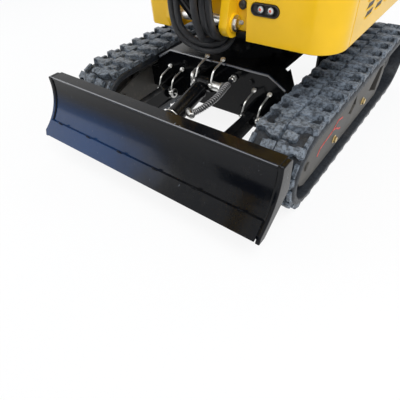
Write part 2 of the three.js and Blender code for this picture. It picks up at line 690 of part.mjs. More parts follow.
// Seat base and rear deck: closed covers behind the floor, round the engine.
const rearDeckTop = floorTop + 40;
const seatBaseTop = floorTop + 150;
const seatHalf = seatWidth / 2;
const seatFront = floorBack + 30;
const seatBack = hoodFrontY - 82;
const skin = 12;
const rearOutline = [[houseHalfWidth - 1, floorBack + GAP], [houseHalfWidth - 1, tailCornerY],
  ...tailLine(hoodBackRadius, tailAngle + 2, Math.acos(hoodHalfWidth / hoodBackRadius) *
    180 / Math.PI - 0.5, 3),
  [hoodHalfWidth + SEAM * 2, hoodFrontY - 6], [-hoodHalfWidth - SEAM * 2, hoodFrontY - 6],
  ...tailLine(hoodBackRadius, 180 - Math.acos(hoodHalfWidth / hoodBackRadius) * 180 / Math.PI + 0.5,
    178 - tailAngle, 3),
  [-houseHalfWidth + 1, tailCornerY], [-houseHalfWidth + 1, floorBack + GAP]];
const rearDeck = plan(rearOutline, counterweightTop + GAP, rearDeckTop)
  .add(box(-hoodHalfWidth, hoodHalfWidth, seatFront, hoodFrontY - 6, rearDeckTop - 1, seatBaseTop))
  .cut(box(-hoodHalfWidth + skin, hoodHalfWidth - skin, seatFront + skin, hoodFrontY + 10,
    counterweightTop - 1, seatBaseTop - skin));
place("seat_base", rearDeck, black());

// The engine hood turns up about its front top edge.
const hoodArc = (radius) => {
  const half = (Math.acos((hoodHalfWidth - (hoodBackRadius - radius)) / radius) * 180) / Math.PI;
  return tailLine(radius, half, 180 - half, 12);
};
const hoodShell = (inset, z0, z1) => plan([[hoodHalfWidth - inset, hoodFrontY + inset],
  ...hoodArc(hoodBackRadius - inset), [-hoodHalfWidth + inset, hoodFrontY + inset]], z0, z1);
place("engine_hood", hoodShell(0, counterweightTop + GAP, hoodTop)
  .cut(hoodShell(skin, counterweightTop, hoodTop - skin),
    box(-hoodHalfWidth + skin, hoodHalfWidth - skin, hoodFrontY - 1, hoodFrontY + skin + 1,
      counterweightTop, hoodTop - skin)), yellow());
place("engine", box(-190, 190, seatFront + 60, hoodBackRadius - 130, houseBottom + deckThickness + GAP,
  seatBaseTop - skin - 40), castBlack());

// Operator's seat.
const cushion = 90;
const seatSole = seatBaseTop + GAP;
const backTilt = 26;
place("seat_cushion", box(-seatHalf, seatHalf, seatFront + 4, seatBack - 30, seatSole,
  seatSole + cushion), vinyl());
place("seat_back", side([[seatBack - 30 + GAP, seatSole + 20], [seatBack + 52, seatSole + 20],
  [seatBack + 52 + backTilt, seatSole + 430], [seatBack + backTilt - 12, seatSole + 430]],
-seatHalf, seatHalf), vinyl());
place("seat_pan", box(-seatHalf + 20, seatHalf - 20, seatBack - 30 + GAP, seatBack + 40, seatSole,
  seatSole + 20 - GAP), castBlack());

// Control stand in front of the operator, with its travel levers and joysticks.
const standHalf = 150;
const standY = -78;
const standTop = 985;
const stand = side([[standY - 20, floorTop + GAP], [standY + 60, floorTop + GAP],
  [standY + 50, standTop - 60],
  [standY + 88, standTop - 16], [standY + 60, standTop], [standY - 14, standTop - 30]], -standHalf,
    standHalf);
place("control_stand", stand, black());
const lever = (x, y, top, lean, knob) => barBetween([x, y, standTop - 30], [x, y + lean, top], 7, 8)
  .add(barBetween([x, y + lean, top - 2], [x, y + lean * 1.25, top + 70], knob, 8));
const leverSet = [[-110, standY + 8, 40, 15], [-36, standY, 10, 12], [36, standY, 10, 12],
  [110, standY + 8, 40, 15]]
  .map(([x, y, lean, knob]) => lever(x, y, standTop + 130, lean, knob));
const leverPlate = box(-standHalf + 14, standHalf - 14, standY - 10, standY + 30, standTop + 4,
  standTop + 10);
place("control_levers", leverPlate.add(...leverSet).cut(stand), vinyl());

// Canopy: two bent posts behind the seat carry a roof.
const postSize = 25;
const square = [[-postSize, -postSize], [postSize, -postSize], [postSize, postSize],
  [-postSize, postSize]];
const roofThickness = 46;
const roofUnder = canopyTop - roofThickness;
const roofFront = -330;
const roofBack = canopyPostY + 60;
const railDrop = 9;
const railZ = roofUnder - postSize - railDrop;
const bend = 150;
const bar = (x) => sweep([[x, canopyPostY, rearDeckTop + GAP], [x, canopyPostY, railZ - 3 * bend],
  [x, canopyPostY, railZ - bend], [x, canopyPostY - 0.3 * bend, railZ - 0.3 * bend],
  [x, canopyPostY - bend, railZ], [x, 0, railZ], [x, roofFront + 120, railZ]], square, 24);
const canopyX = canopyPostX - 20;
const crossBars = [[canopyPostY, 1500], [canopyPostY, 1130]].map(([y, z]) =>
  box(-canopyX, canopyX, y - 16, y + 16, z - 16, z + 16));
const roofBearers = [roofFront + 150, 120].map((y) => box(-canopyX, canopyX, y - 18, y + 18,
  railZ - 12, roofUnder));
place("canopy_frame", bar(-canopyX).add(bar(canopyX), ...crossBars, ...roofBearers,
  ...[-canopyX, canopyX].map((x) => box(x - 42, x + 42, canopyPostY - 55, canopyPostY + 55,
    rearDeckTop + GAP, rearDeckTop + 12))), black());
const roofHalf = 455;
const roofCorner = 70;
const roofOutline = (inset) => {
  const x = roofHalf - inset - roofCorner;
  const yb = roofBack - inset - roofCorner;
  const yf = roofFront + inset + roofCorner;
  return [...arc([x, yf], roofCorner, -90, 0, 5), ...arc([x, yb], roofCorner, 0, 90, 5),
    ...arc([-x, yb], roofCorner, 90, 180, 5), ...arc([-x, yf], roofCorner, 180, 270, 5)];
};
place("canopy_roof", plan(roofOutline(0), roofUnder + GAP, canopyTop), yellow());

// ---------------------------------------------------------------- boom
const quadratic = (a, b, c, t) => [0, 1].map((k) =>
  (1 - t) ** 2 * a[k] + 2 * t * (1 - t) * b[k] + t * t * c[k]);
const boomSlope = (t) => direction([0, 0], [0, 1].map((k) =>
  2 * (1 - t) * (boomControl[k] - boomFoot[k]) + 2 * t * (boomTip[k] - boomControl[k])));
const boomPoint = (t, lift) => {
  const [y, z] = quadratic(boomFoot, boomControl, boomTip, t);
  const slope = boomSlope(t);
  return [y + slope[1] * lift, z - slope[0] * lift];
};
const boomHalf = (t) => boomHalfDepth + boomSwell * Math.sin(Math.PI * t);
const boomEnd = 0.9;
const eyeSweep = 82;             // room round the boom cylinder's eye, cut into the boom's belly
const eyePocketHalf = 39;
const tipLugWall = 14;
const boomLine = (sign, from, to, steps) => Array.from({ length: steps + 1 }, (_, i) => {
  const t = from + ((to - from) * i) / steps;
  return boomPoint(t, sign * boomHalf(t));
});

function boom() {
  const half = boomWidth / 2;
  const footHalf = earInner - SIDE_PLAY;
  const outline = [...boomLine(1, 0, boomEnd, 12), ...boomLine(-1, boomEnd, 0, 12)];
  const forkWall = 14;
  const forkInner = armWidth / 2 + SIDE_PLAY;
  const forkShape = [...boomLine(1, boomEnd - 0.14, boomEnd, 3), ...arc(boomTip, 38, 115, 295, 10),
    ...boomLine(-1, boomEnd, boomEnd - 0.14, 3)];
  const lugs = (base, eye, t, lift) => clevis([[...base, 26], [...boomPoint(t - 0.1, lift), 20],
    [...boomPoint(t, lift), 20]],
    eye + SIDE_PLAY, 12, base);
  let solid = side(outline, -half, half)
    .add(barX(boomFoot, boomHalfDepth, -footHalf, footHalf, 28),
      side(forkShape, forkInner, forkInner + forkWall), side(forkShape, -forkInner - forkWall,
        -forkInner),
      side(hull([[...boomPoint(boomEnd - 0.15, 0), 40], [...boomPoint(boomEnd - 0.02, 0), 36]]),
        -forkInner - forkWall, forkInner + forkWall),
      lugs(armCylinderBase, 25, 0.44, boomHalf(0.44)));
  const tipAt = boomCylinderTip;
  const tipLug = hull([[...tipAt, 26], [...boomPoint(0.28, -boomHalf(0.28) + 16), 20],
    [...boomPoint(0.42, -boomHalf(0.42) + 16), 20]]);
  const tipLugOuter = eyePocketHalf + tipLugWall;
  solid = solid.add(side(tipLug, eyePocketHalf, tipLugOuter), side(tipLug, -tipLugOuter,
    -eyePocketHalf));
  return solid.add(barX(boomTip, pinRadius, -forkInner - forkWall - 7, forkInner + forkWall + 7))
    .cut(barX(boomFoot, 20 + PIN_PLAY, -footHalf - 1, footHalf + 1, 24),
      barX(tipAt, eyeSweep, -eyePocketHalf, eyePocketHalf, 24));
}
place("boom", boom(), yellow());
hydraulicCylinder("boom_cylinder", boomCylinderBase, boomCylinderTip, {
  barrel: 33, rod: 18, eyeHalf: 25, eyeRadius: 25, retract: 168, extend: 158 });
hydraulicCylinder("arm_cylinder", armCylinderBase, armCylinderTip, {
  barrel: 30, rod: 16, eyeHalf: 25, eyeRadius: 24, retract: 122, extend: 138 });

// ---------------------------------------------------------------- arm
// Positions on the arm are given as the distance down its line from the boom's tip, and the
// distance out in front of that line.
const armDown = [-Math.sin(radians(armLean)), -Math.cos(radians(armLean))];
const armOut = [-Math.cos(radians(armLean)), Math.sin(radians(armLean))];
const onArm = (down, out) => along(along(boomTip, armDown, down), armOut, out);
const bucketPin = onArm(armLength, 0);
const rockerPivot = onArm(armLength - rockerSpacing, 0);
const rockerAngle = radians(rockerRest);
const rockerOffset = [Math.cos(rockerAngle) * rockerLength, Math.sin(rockerAngle) * rockerLength];
const rockerPin = onArm(armLength - rockerSpacing + rockerOffset[0], rockerOffset[1]);
const bucketLinkPin = onArm(armLength + rockerOffset[0], rockerOffset[1]);
const bucketCylinderBase = onArm(0, 112);
const armCheek = 12;
const armEye = armWidth / 2 - armCheek;

function armSolid() {
  const half = armWidth / 2;
  const web = hull([[...onArm(0, 0), 42], [...onArm(0, 14), 42], [...bucketPin, 28]]);
  const head = hull([[...boomTip, 44], [...armCylinderTip, 27], [...bucketCylinderBase, 26],
    [...onArm(90, 22), 36]]);
  return side(web, -half, half)
    .add(side(head, armEye, half), side(head, -half, -armEye),
      barX(rockerPivot, 28, -half, half), barX(bucketCylinderBase, pinRadius, -half, half))
    .add(barX(rockerPivot, pinRadius, -half - 26, half + 26), barX(bucketPin, pinRadius, -half - 24,
      half + 24))
    .cut(barX(boomTip, pinRadius + PIN_PLAY, -half - 1, half + 1));
}
place("arm", armSolid(), yellow());

const rockerWall = 14;
const rockerInner = armWidth / 2 + SIDE_PLAY;
const cylinderEye = 25;
const rockerLink = side(hull([[...rockerPivot, 25], [...rockerPin, 21]]), rockerInner, rockerInner +
  rockerWall)
  .cut(barX(rockerPivot, pinRadius + PIN_PLAY, rockerInner - 1, rockerInner + rockerWall + 1))
  .add(barX(rockerPin, pinRadius, cylinderEye + SIDE_PLAY, rockerInner + rockerWall + 7));
placePair("rocker_link", rockerLink, castBlack);

// The push link is an H: two bars outside the cylinder's eye, joined by a web.
const linkBar = 10;
const linkOuter = rockerInner - SIDE_PLAY;
const linkWeb = [along(rockerPin, armDown, rockerSpacing * 0.32), along(rockerPin, armDown,
  rockerSpacing * 0.68)];
const pushLink = [[linkOuter - linkBar, linkOuter],
  [-linkOuter, -linkOuter + linkBar]].map(([x0, x1]) =>
  side(hull([[...rockerPin, 20], [...bucketLinkPin, 20]]), x0, x1)
    .cut(barX(rockerPin, pinRadius + PIN_PLAY, x0 - 1, x1 + 1),
      barX(bucketLinkPin, pinRadius + PIN_PLAY, x0 - 1, x1 + 1)));
place("push_link", pushLink[0].add(pushLink[1], side(hull([[...linkWeb[0], 12], [...linkWeb[1], 12]]),
  -linkOuter + 1, linkOuter - 1)), castBlack());
hydraulicCylinder("bucket_cylinder", bucketCylinderBase, rockerPin, {
  barrel: 26, rod: 14, eyeHalf: 25, eyeRadius: 22, retract: 177, extend: 97 });

// ---------------------------------------------------------------- bucket
// Its outline is drawn from the bucket pin: the first number runs along the bucket's top, away
// from its mouth, and the second down from the top.
const bucketTurn = radians(rockerRest - earLean);
const bucketAlong = [Math.cos(bucketTurn) * armDown[0] + Math.sin(bucketTurn) * armOut[0],
  Math.cos(bucketTurn) * armDown[1] + Math.sin(bucketTurn) * armOut[1]];
const bucketDeep = [-bucketAlong[1], bucketAlong[0]];
const onBucket = ([a, b]) => along(along(bucketPin, bucketAlong, a), bucketDeep, b);
const heelCentre = [120, 195];
const heelRadius = 135;
const heelEnd = 75;

function bucketOutline(inset) {
  const r = heelRadius - inset;
  const end = arc(heelCentre, r, heelEnd, heelEnd, 1)[0];
  const slope = radians(heelEnd + 90);
  const lip = along(end, [Math.cos(slope), Math.sin(slope)], 258);
  return [[-55, heelCentre[1] - r], ...arc(heelCentre, r, -90, heelEnd, 10), lip];
}

function bucketSolid() {
  const half = bucketWidth / 2;
  const w = bucketPlate;
  const outer = bucketOutline(0);
  const inner = bucketOutline(w);
  const cheekLine = [...outer, [-40, 250]].map(onBucket);
  const shell = [...outer, ...inner.reverse()].map(onBucket);
  const lip = outer[outer.length - 1];
  const back = outer[outer.length - 2];
  const slope = direction(back, lip);
  const outward = [slope[1], -slope[0]];
  const toothPoint = (reach, drop) => onBucket(along(along(lip, slope, reach), outward, drop));
  let solid = side(shell, -half + w - 1, half - w + 1)
    .add(side(cheekLine, -half, -half + w), side(cheekLine, half - w, half));
  const teeth = 4;
  const toothWidth = 46;
  for (let i = 0; i < teeth; i += 1) {
    const x = -half + toothWidth / 2 + (i * (bucketWidth - toothWidth)) / (teeth - 1);
    const tooth = [toothPoint(-46, -6), toothPoint(-46, 14), toothPoint(6, 14),
      toothPoint(toothReach, 2),
      toothPoint(toothReach, -6)];
    solid = solid.add(side(tooth, x - toothWidth / 2, x + toothWidth / 2));
  }
  const earIn = armWidth / 2 + SIDE_PLAY;
  const earPin = bucketPin;
  const earShape = hull([[...earPin, 30], [...bucketLinkPin, 26], [...onBucket([-30, 72]), 14],
    [...onBucket([170, 84]), 14]]);
  const bucketEars = [[earIn, earIn + 16], [-earIn - 16, -earIn]].map(([x0, x1]) => side(earShape, x0,
    x1)
    .cut(barX(earPin, pinRadius + PIN_PLAY, x0 - 1, x1 + 1)));
  return solid.add(...bucketEars, barX(bucketLinkPin, pinRadius, -earIn - 22, earIn + 22));
}
place("bucket", bucketSolid(), black());

// ---------------------------------------------------------------- hoses
// Five boom hoses rise between the ears out of a loop that hangs below the deck.
const hoseRadius = 10.5;
const hoseTop = 612;
const hoseEnd = 448;
const hoseRoutes = [
  [[-66, -364, hoseTop], [-60, -363, 530], [-52, -362, 485], [-25, -360, 446], [8, -350, 414],
    [42, -325, 393],
    [74, -285, 394], [78, -246, 414], [74, -237, hoseEnd]],
  [[-46, -364, hoseTop], [-44, -362, 530], [-36, -361, 500], [-14, -358, 472], [16, -350, 438],
    [46, -332, 415],
    [66, -294, 405], [60, -250, 420], [52, -237, hoseEnd]],
  [[56, -400, hoseTop], [44, -408, 552], [22, -392, 503], [14, -370, 456], [30, -345, 430],
    [42, -306, 414],
    [38, -256, 422], [32, -237, hoseEnd]],
  [[48, -364, hoseTop], [47, -362, 542], [50, -362, 500], [58, -358, 466], [68, -342, 443],
    [62, -300, 424],
    [48, -254, 430], [44, -237, hoseEnd]],
  [[74, -364, hoseTop], [71, -362, 545], [74, -362, 503], [80, -358, 470], [80, -344, 446],
    [74, -306, 424],
    [68, -256, 428], [66, -237, hoseEnd]],
];
const boomHoses = hoseRoutes.map((route) => sweep(route, ring(hoseRadius, 8), 14));
place("boom_hoses", boomHoses[0].add(...boomHoses.slice(1),
  box(12, earInner - GAP, -254, -222, hoseEnd - 12, hoseEnd + 12),
  box(-84, -34, -378, -350, hoseTop - 10, hoseTop + 8),
  box(38, 92, -414, -350, hoseTop - 10, hoseTop + 8)), hoseRubber());

// Steel pipes carry the oil up the side of the boom.
const pipeRadius = 8;
const pipeLift = [-24, -6, 12, 30];
const pipes = pipeLift.map((lift) => sweep(Array.from({ length: 9 }, (_, i) => {
  const t = 0.1 + (0.56 * i) / 8;
  const [y, z] = boomPoint(t, lift);
  return [boomWidth / 2 + pipeRadius + 6, y, z];
}), ring(pipeRadius, 6), 10));
const pipeClamps = [0.16, 0.4,
  0.62].map((t) => side(hull([[...boomPoint(t, -34), 8], [...boomPoint(t, 40), 8]]),
  boomWidth / 2 + GAP, boomWidth / 2 + 12));
place("boom_pipes", pipes[0].add(...pipes.slice(1), ...pipeClamps), steel());

// The blade cylinder's hose runs back beside its barrel to the front plate.
const bladeHoseX = 58;
const bladeAxis = direction(bladeCylinderBase, bladeCylinderTip);
const bladeHosePort = along(bladeCylinderBase, bladeAxis, 235);
place("blade_hose", sweep([[36, bladeHosePort[0], bladeHosePort[1] + 4], [48, bladeHosePort[0] + 10,
  bladeHosePort[1] + 8],
  [bladeHoseX, bladeHosePort[0] + 60, bladeHosePort[1] + 24], [bladeHoseX + 6, bladePivotY - 60,
    bladeCylinderBase[1] + 6],
  [bladeHoseX + 8, bladePivotY, bladeCylinderBase[1] + 14], [bladeHoseX + 8, -centreHalfLength - 16,
    bladeCylinderBase[1] + 10]],
ring(8, 8), 18), hoseRubber());

// The middle of the machine's box stands on the origin.
const bounds = new THREE.Box3().setFromObject(machine);
machine.position.set(-(bounds.min.x + bounds.max.x) / 2, -(bounds.min.y + bounds.max.y) / 2,
  -bounds.min.z);

export default machine;
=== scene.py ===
"""Looks of a compact tracked digger: its finishes and fine meshes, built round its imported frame.

Places in the classes below are millimetres from the slewing axis at floor level, -Y to the
blade and +X to the operator's left, and `at` turns them into the frame's metres.
"""

import json
import logging
import math
from dataclasses import dataclass
from enum import Enum
from typing import Iterable, Optional, Sequence, Union

import bmesh
import bpy
from mathutils import Matrix, Vector


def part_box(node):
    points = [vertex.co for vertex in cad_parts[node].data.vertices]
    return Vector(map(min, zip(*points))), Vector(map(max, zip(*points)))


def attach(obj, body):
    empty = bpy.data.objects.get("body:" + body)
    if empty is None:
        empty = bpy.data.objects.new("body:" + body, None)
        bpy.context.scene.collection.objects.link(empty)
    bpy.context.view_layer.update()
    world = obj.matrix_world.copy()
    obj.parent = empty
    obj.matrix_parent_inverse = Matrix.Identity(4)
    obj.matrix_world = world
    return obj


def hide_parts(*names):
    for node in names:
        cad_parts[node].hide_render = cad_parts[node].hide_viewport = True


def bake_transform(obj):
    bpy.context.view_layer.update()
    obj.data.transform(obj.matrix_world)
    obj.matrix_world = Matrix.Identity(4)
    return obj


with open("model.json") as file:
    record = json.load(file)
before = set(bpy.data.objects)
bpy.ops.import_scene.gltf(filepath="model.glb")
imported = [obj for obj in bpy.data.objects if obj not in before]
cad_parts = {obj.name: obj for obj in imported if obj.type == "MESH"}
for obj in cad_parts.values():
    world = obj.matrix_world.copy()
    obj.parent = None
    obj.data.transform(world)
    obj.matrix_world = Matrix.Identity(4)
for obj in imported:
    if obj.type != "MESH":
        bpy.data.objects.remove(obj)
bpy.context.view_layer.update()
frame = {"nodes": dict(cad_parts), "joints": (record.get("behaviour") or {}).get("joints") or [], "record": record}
LOG = logging.getLogger("digger")
MM = 0.001
MERGE = 2e-5  # points nearer than this, in metres, are one
FLAT = math.radians(1.0)  # faces that meet at less are one
SHARP = math.radians(34)  # edges that fold by more stay sharp on small repeated shapes
PIN_RADIUS = 15.2
JOINTS = {joint["name"]: joint for joint in frame["joints"]}
BODY_OF = {node: body for body, nodes in frame["record"]["behaviour"]["bodies"].items() for node in nodes}
SLEW_Y = sum(corner.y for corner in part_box("slew_ring")) / 2
Point = tuple[float, float]
Colour = tuple[float, float, float, float]


def at(x: float, y: float, z: float) -> Vector:
    """The frame's point, in metres, for millimetres from the slewing axis."""
    return Vector((x * MM, y * MM + SLEW_Y, z * MM))


def mm(x: float, y: float, z: float) -> Vector:
    """A step in metres, from millimetres."""
    return Vector((x * MM, y * MM, z * MM))


LEFTWARDS, FORWARDS, UPWARDS = Vector((1, 0, 0)), Vector((0, -1, 0)), Vector((0, 0, 1))


def joint_place(name: str) -> Point:
    """A joint's y and z in millimetres from the slewing axis."""
    _, y, z = JOINTS[name]["pos_m"]
    return (y - SLEW_Y) / MM, z / MM


def turns(steps: int) -> list[float]:
    """The angles, in radians, of steps spread evenly round a circle."""
    return [2 * math.pi * k / steps for k in range(steps)]


def arc(centre: Point, radius: float, start: float, end: float, steps: int) -> list[Point]:
    """Points of an arc, with its angles in degrees."""
    angles = [math.radians(start + (end - start) * i / steps) for i in range(steps + 1)]
    return [(centre[0] + radius * math.cos(a), centre[1] + radius * math.sin(a)) for a in angles]


def span(sign: int, near: float, far: float) -> list[float]:
    """Two distances from the middle as places in x on one side of it, the lower first."""
    return sorted((sign * near, sign * far))


def smooth_path(points: Sequence[Vector], steps: int = 8) -> list[Vector]:
    """Runs a curve through given points.

    Args:
        points: the points, end to end.
        steps: how many short lengths each stretch between two points becomes.

    Returns:
        The points of the curve.
    """
    ends = [points[0] * 2 - points[1], *points, points[-1] * 2 - points[-2]]
    path = []
    for i in range(1, len(ends) - 2):
        a, b, c, d = ends[i - 1:i + 3]
        for k in range(steps):
            t = k / steps
            path.append(0.5 * (2 * b + (c - a) * t + (2 * a - 5 * b + 4 * c - d) * t * t
                               + (3 * b - a - 3 * c + d) * t ** 3))
    return path + [points[-1]]


# ---- shader maths


class Value:
    """A shader socket that holds one number and takes part in sums."""

    def __init__(self, shader: "Shader", socket: bpy.types.NodeSocket) -> None:
        """Wraps the socket of a node in the shader."""
        self.shader = shader
        self.socket = socket

    def _sum(self, operation: str, *terms: "Number", clamp: bool = False) -> "Value":
        """Adds a Math node that works on the terms."""
        node = self.shader.node("ShaderNodeMath", {"operation": operation, "use_clamp": clamp},
                                dict(enumerate(terms)))
        return self.shader.value(node)

    def __add__(self, other: "Number") -> "Value":
        """self + other."""
        return self._sum("ADD", self, other)

    def __sub__(self, other: "Number") -> "Value":
        """self - other."""
        return self._sum("SUBTRACT", self, other)

    def __rsub__(self, other: "Number") -> "Value":
        """other - self."""
        return self._sum("SUBTRACT", other, self)

    def __mul__(self, other: "Number") -> "Value":
        """self * other."""
        return self._sum("MULTIPLY", self, other)

    __radd__ = __add__
    __rmul__ = __mul__

    def clamped(self) -> "Value":
        """The number held between 0 and 1."""
        return self._sum("ADD", self, 0.0, clamp=True)

    def between(self, low: float, high: float) -> "Value":
        """0 below low and 1 above high, with a soft step between them."""
        node = self.shader.node("ShaderNodeMapRange", {"interpolation_type": "SMOOTHSTEP"},
                                {"Value": self, "From Min": low, "From Max": high})
        return self.shader.value(node)


Number = Union[Value, float]


class Shader:
    """The node tree of a material or a world under construction."""

    def __init__(self, owner: Union[str, bpy.types.World]) -> None:
        """Starts an empty material of that name, or empties a world's tree."""
        if isinstance(owner, str):
            owner = bpy.data.materials.new(owner)
            owner["finish"] = True
        owner.use_nodes = True
        self.owner = owner
        self.tree = owner.node_tree
        self.tree.nodes.clear()

    def node(self, kind: str, settings: Optional[dict] = None,
             sockets: Optional[dict] = None) -> bpy.types.Node:
        """Adds a node.

        Args:
            kind: the node's type.
            settings: its properties, set first; "stops" sets a ramp's places and colours.
            sockets: its inputs by name or number, each a value, a Value or another socket.

        Returns:
            The node.
        """
        node = self.tree.nodes.new(kind)
        for key, setting in (settings or {}).items():
            if key == "stops":
                while len(node.color_ramp.elements) < len(setting):
                    node.color_ramp.elements.new(0.5)
                for element, (place, colour) in zip(node.color_ramp.elements, setting):
                    element.position, element.color = place, colour
            else:
                setattr(node, key, setting)
        for key, value in (sockets or {}).items():
            if isinstance(value, Value):
                value = value.socket
            if isinstance(value, bpy.types.NodeSocket):
                self.tree.links.new(value, node.inputs[key])
            else:
                node.inputs[key].default_value = value
        return node

    def value(self, node: bpy.types.Node, output: Union[int, str] = 0) -> Value:
        """One of a node's outputs as a number."""
        return Value(self, node.outputs[output])

    def place(self, stretch: Sequence[float] = (1, 1, 1)) -> bpy.types.NodeSocket:
        """Object coordinates, stretched along the axes."""
        coordinates = self.node("ShaderNodeTexCoord").outputs["Object"]
        return self.node("ShaderNodeMapping", None, {"Vector": coordinates, "Scale": stretch}).outputs[0]

    def noise(self, scale: float, detail: float = 4.0, stretch: Sequence[float] = (1, 1, 1)) -> Value:
        """Soft noise whose patches are about 1 / scale metres wide."""
        node = self.node("ShaderNodeTexNoise", None, {
            "Vector": self.place(stretch), "Scale": scale, "Detail": detail, "Roughness": 0.6})
        return self.value(node)

    def cells(self, scale: float, feature: str = "F1") -> Value:
        """Distance to the nearest of scattered points, as in grain and pitting."""
        node = self.node("ShaderNodeTexVoronoi", {"feature": feature}, {"Vector": self.place(), "Scale": scale})
        return self.value(node)

    def normal_part(self, axis: str) -> Value:
        """How far the surface faces along an axis of the machine."""
        normal = self.node("ShaderNodeNewGeometry").outputs["Normal"]
        return self.value(self.node("ShaderNodeSeparateXYZ", None, {0: normal}), axis)

    def height(self) -> Value:
        """Height over the floor in metres."""
        return self.value(self.node("ShaderNodeSeparateXYZ", None, {0: self.place()}), "Z")

    def across(self) -> Value:
        """Distance to the operator's left of the middle in metres."""
        return self.value(self.node("ShaderNodeSeparateXYZ", None, {0: self.place()}), "X")

    def mix(self, share: Number, first: object, second: object) -> bpy.types.NodeSocket:
        """One colour over another by a share from 0 to 1."""
        node = self.node("ShaderNodeMix", {"data_type": "RGBA"}, {0: share, 6: first, 7: second})
        return node.outputs[2]

    def surface(self, bump: Optional[Value] = None, depth: float = 0.0,
                **sockets: object) -> bpy.types.Material:
        """Ends the tree in a principled surface.

        Args:
            bump: the height of the fine relief, from 0 to 1.
            depth: that relief's depth in metres.
            sockets: the surface's inputs, with _ for each space in their names.

        Returns:
            The finished material.
        """
        inputs = {key.replace("_", " "): value for key, value in sockets.items()}
        if bump is not None:
            relief = self.node("ShaderNodeBump", None, {"Height": bump, "Distance": depth, "Strength": 1.0})
            inputs["Normal"] = relief.outputs[0]
        return self.end(self.node("ShaderNodeBsdfPrincipled", None, inputs))

    def seen(self) -> Value:
        """1 for what the camera sees, also in reflections and through glass, and 0 for light on surfaces."""
        path = self.node("ShaderNodeLightPath")
        return (self.value(path, "Is Camera Ray") + self.value(path, "Is Glossy Ray")
                + self.value(path, "Is Transmission Ray")).clamped()

    def end(self, last: bpy.types.Node, output: str = "ShaderNodeOutputMaterial") -> bpy.types.ID:
        """Joins the last node to the tree's output and gives the finished material or world."""
        self.node(output, None, {0: last.outputs[0]})
        return self.owner


# ---- finishes


@dataclass(frozen=True)
class Finish:
    """A surface finish. Subclasses say how it is made, and each is made once."""

    name: str
    slot: str

    def build(self) -> bpy.types.Material:
        """Makes the material."""
        raise NotImplementedError

    def material(self) -> bpy.types.Material:
        """The finish's material, made on first use."""
        made = bpy.data.materials.get(self.name)
        return made if made and made.get("finish") else self.build()


@dataclass(frozen=True)
class Paint(Finish):
    """Sprayed machine paint: orange peel, faint fading, scuffs, dust where it settles, and, where asked, a painted
    blue reflection on low surfaces.
    """

    colour: Colour = (0.9, 0.6, 0.05, 1)
    under: Colour = (0.1, 0.1, 0.1, 1)
    roughness: float = 0.3
    clear: float = 0.3
    dust: float = 0.15
    scuffs: float = 0.3
    shine: float = 0.5
    # strength of the painted blue reflection on low surfaces
    sheen: float = 0.0

    def build(self) -> bpy.types.Material:
        """Makes the material."""
        s = Shader(self.name)
        cloud = s.noise(3.0)
        fade = tuple(c * 0.86 for c in self.colour[:3]) + (1,)
        base = s.mix(cloud.between(0.3, 0.7), self.colour, fade)
        # painted reflection: a blue patch on surfaces below about 0.25 m, fading out above that and towards the
        # operator's left
        low = s.height().between(0.255, 0.15) * (s.across() + s.noise(5.0) * 0.3).between(0.32, -0.12)
        base = s.mix(low * self.sheen, base, (0.002, 0.030, 0.105, 1))
        scratch = s.noise(95.0, 2.0, (1.0, 1.0, 0.12)).between(0.69, 0.73) * s.noise(9.0).between(0.52, 0.68)
        nick = s.cells(160.0).between(0.12, 0.04) * s.noise(14.0).between(0.58, 0.7)
        wear = (scratch + nick).clamped() * self.scuffs
        base = s.mix(wear, base, self.under)
        settled = s.normal_part("Z").between(0.4, 1.0) * s.noise(22.0, 6.0).between(0.35, 0.75)
        splash = s.height().between(0.5, 0.0) * s.noise(30.0, 8.0).between(0.5, 0.8)
        dust = (settled + splash).clamped() * self.dust
        base = s.mix(dust, base, (0.34, 0.30, 0.24, 1))
        peel = s.noise(420.0, 1.0) * 0.5 + s.noise(40.0) * 0.5
        rough = (s.noise(18.0) * 0.12 + (dust * 0.45 + wear * 0.3) + (self.roughness - 0.06)).clamped()
        return s.surface(peel - wear * 0.6, 0.00025, Base_Color=base, Roughness=rough, Coat_Weight=self.clear,
                         Coat_Roughness=0.08, Specular_IOR_Level=self.shine)


@dataclass(frozen=True)
class Casting(Finish):
    """Painted casting or forging with a pebbled skin."""

    colour: Colour = (0.03, 0.031, 0.034, 1)
    roughness: float = 0.5
    dust: float = 0.25

    def build(self) -> bpy.types.Material:
        """Makes the material."""
        s = Shader(self.name)
        pebble = s.noise(240.0, 5.0)
        lighter = tuple(c * 2.2 + 0.012 for c in self.colour[:3]) + (1,)
        base = s.mix(pebble.between(0.45, 0.8), self.colour, lighter)
        settled = s.normal_part("Z").between(0.3, 1.0) * s.noise(26.0, 6.0).between(0.4, 0.7)
        low = s.height().between(0.35, 0.0) * s.noise(40.0, 7.0).between(0.45, 0.7)
        dust = (settled + low).clamped() * self.dust
        base = s.mix(dust, base, (0.27, 0.235, 0.19, 1))
        rough = (s.noise(30.0) * 0.25 + dust * 0.3 + (self.roughness - 0.1)).clamped()
        return s.surface(pebble, 0.0007, Base_Color=base, Roughness=rough)


@dataclass(frozen=True)
class Metal(Finish):
    """Bare or plated steel with drawn lines, stains and a little rust."""

    colour: Colour = (0.6, 0.6, 0.6, 1)
    stain: Colour = (0.25, 0.2, 0.16, 1)
    roughness: float = 0.3
    stained: float = 0.3
    lines: Sequence[float] = (1.0, 1.0, 8.0)

    def build(self) -> bpy.types.Material:
        """Makes the material."""
        s = Shader(self.name)
        drawn = s.noise(160.0, 3.0, self.lines)
        patch = s.noise(28.0, 6.0).between(0.5, 0.72) * self.stained
        base = s.mix(drawn, tuple(c * 0.82 for c in self.colour[:3]) + (1,), self.colour)
        base = s.mix(patch, base, self.stain)
        rough = (drawn * 0.16 + patch * 0.5 + (self.roughness - 0.06)).clamped()
        return s.surface(drawn, 0.00012, Base_Color=base, Metallic=(1 - patch * 0.85).clamped(),
                         Roughness=rough)


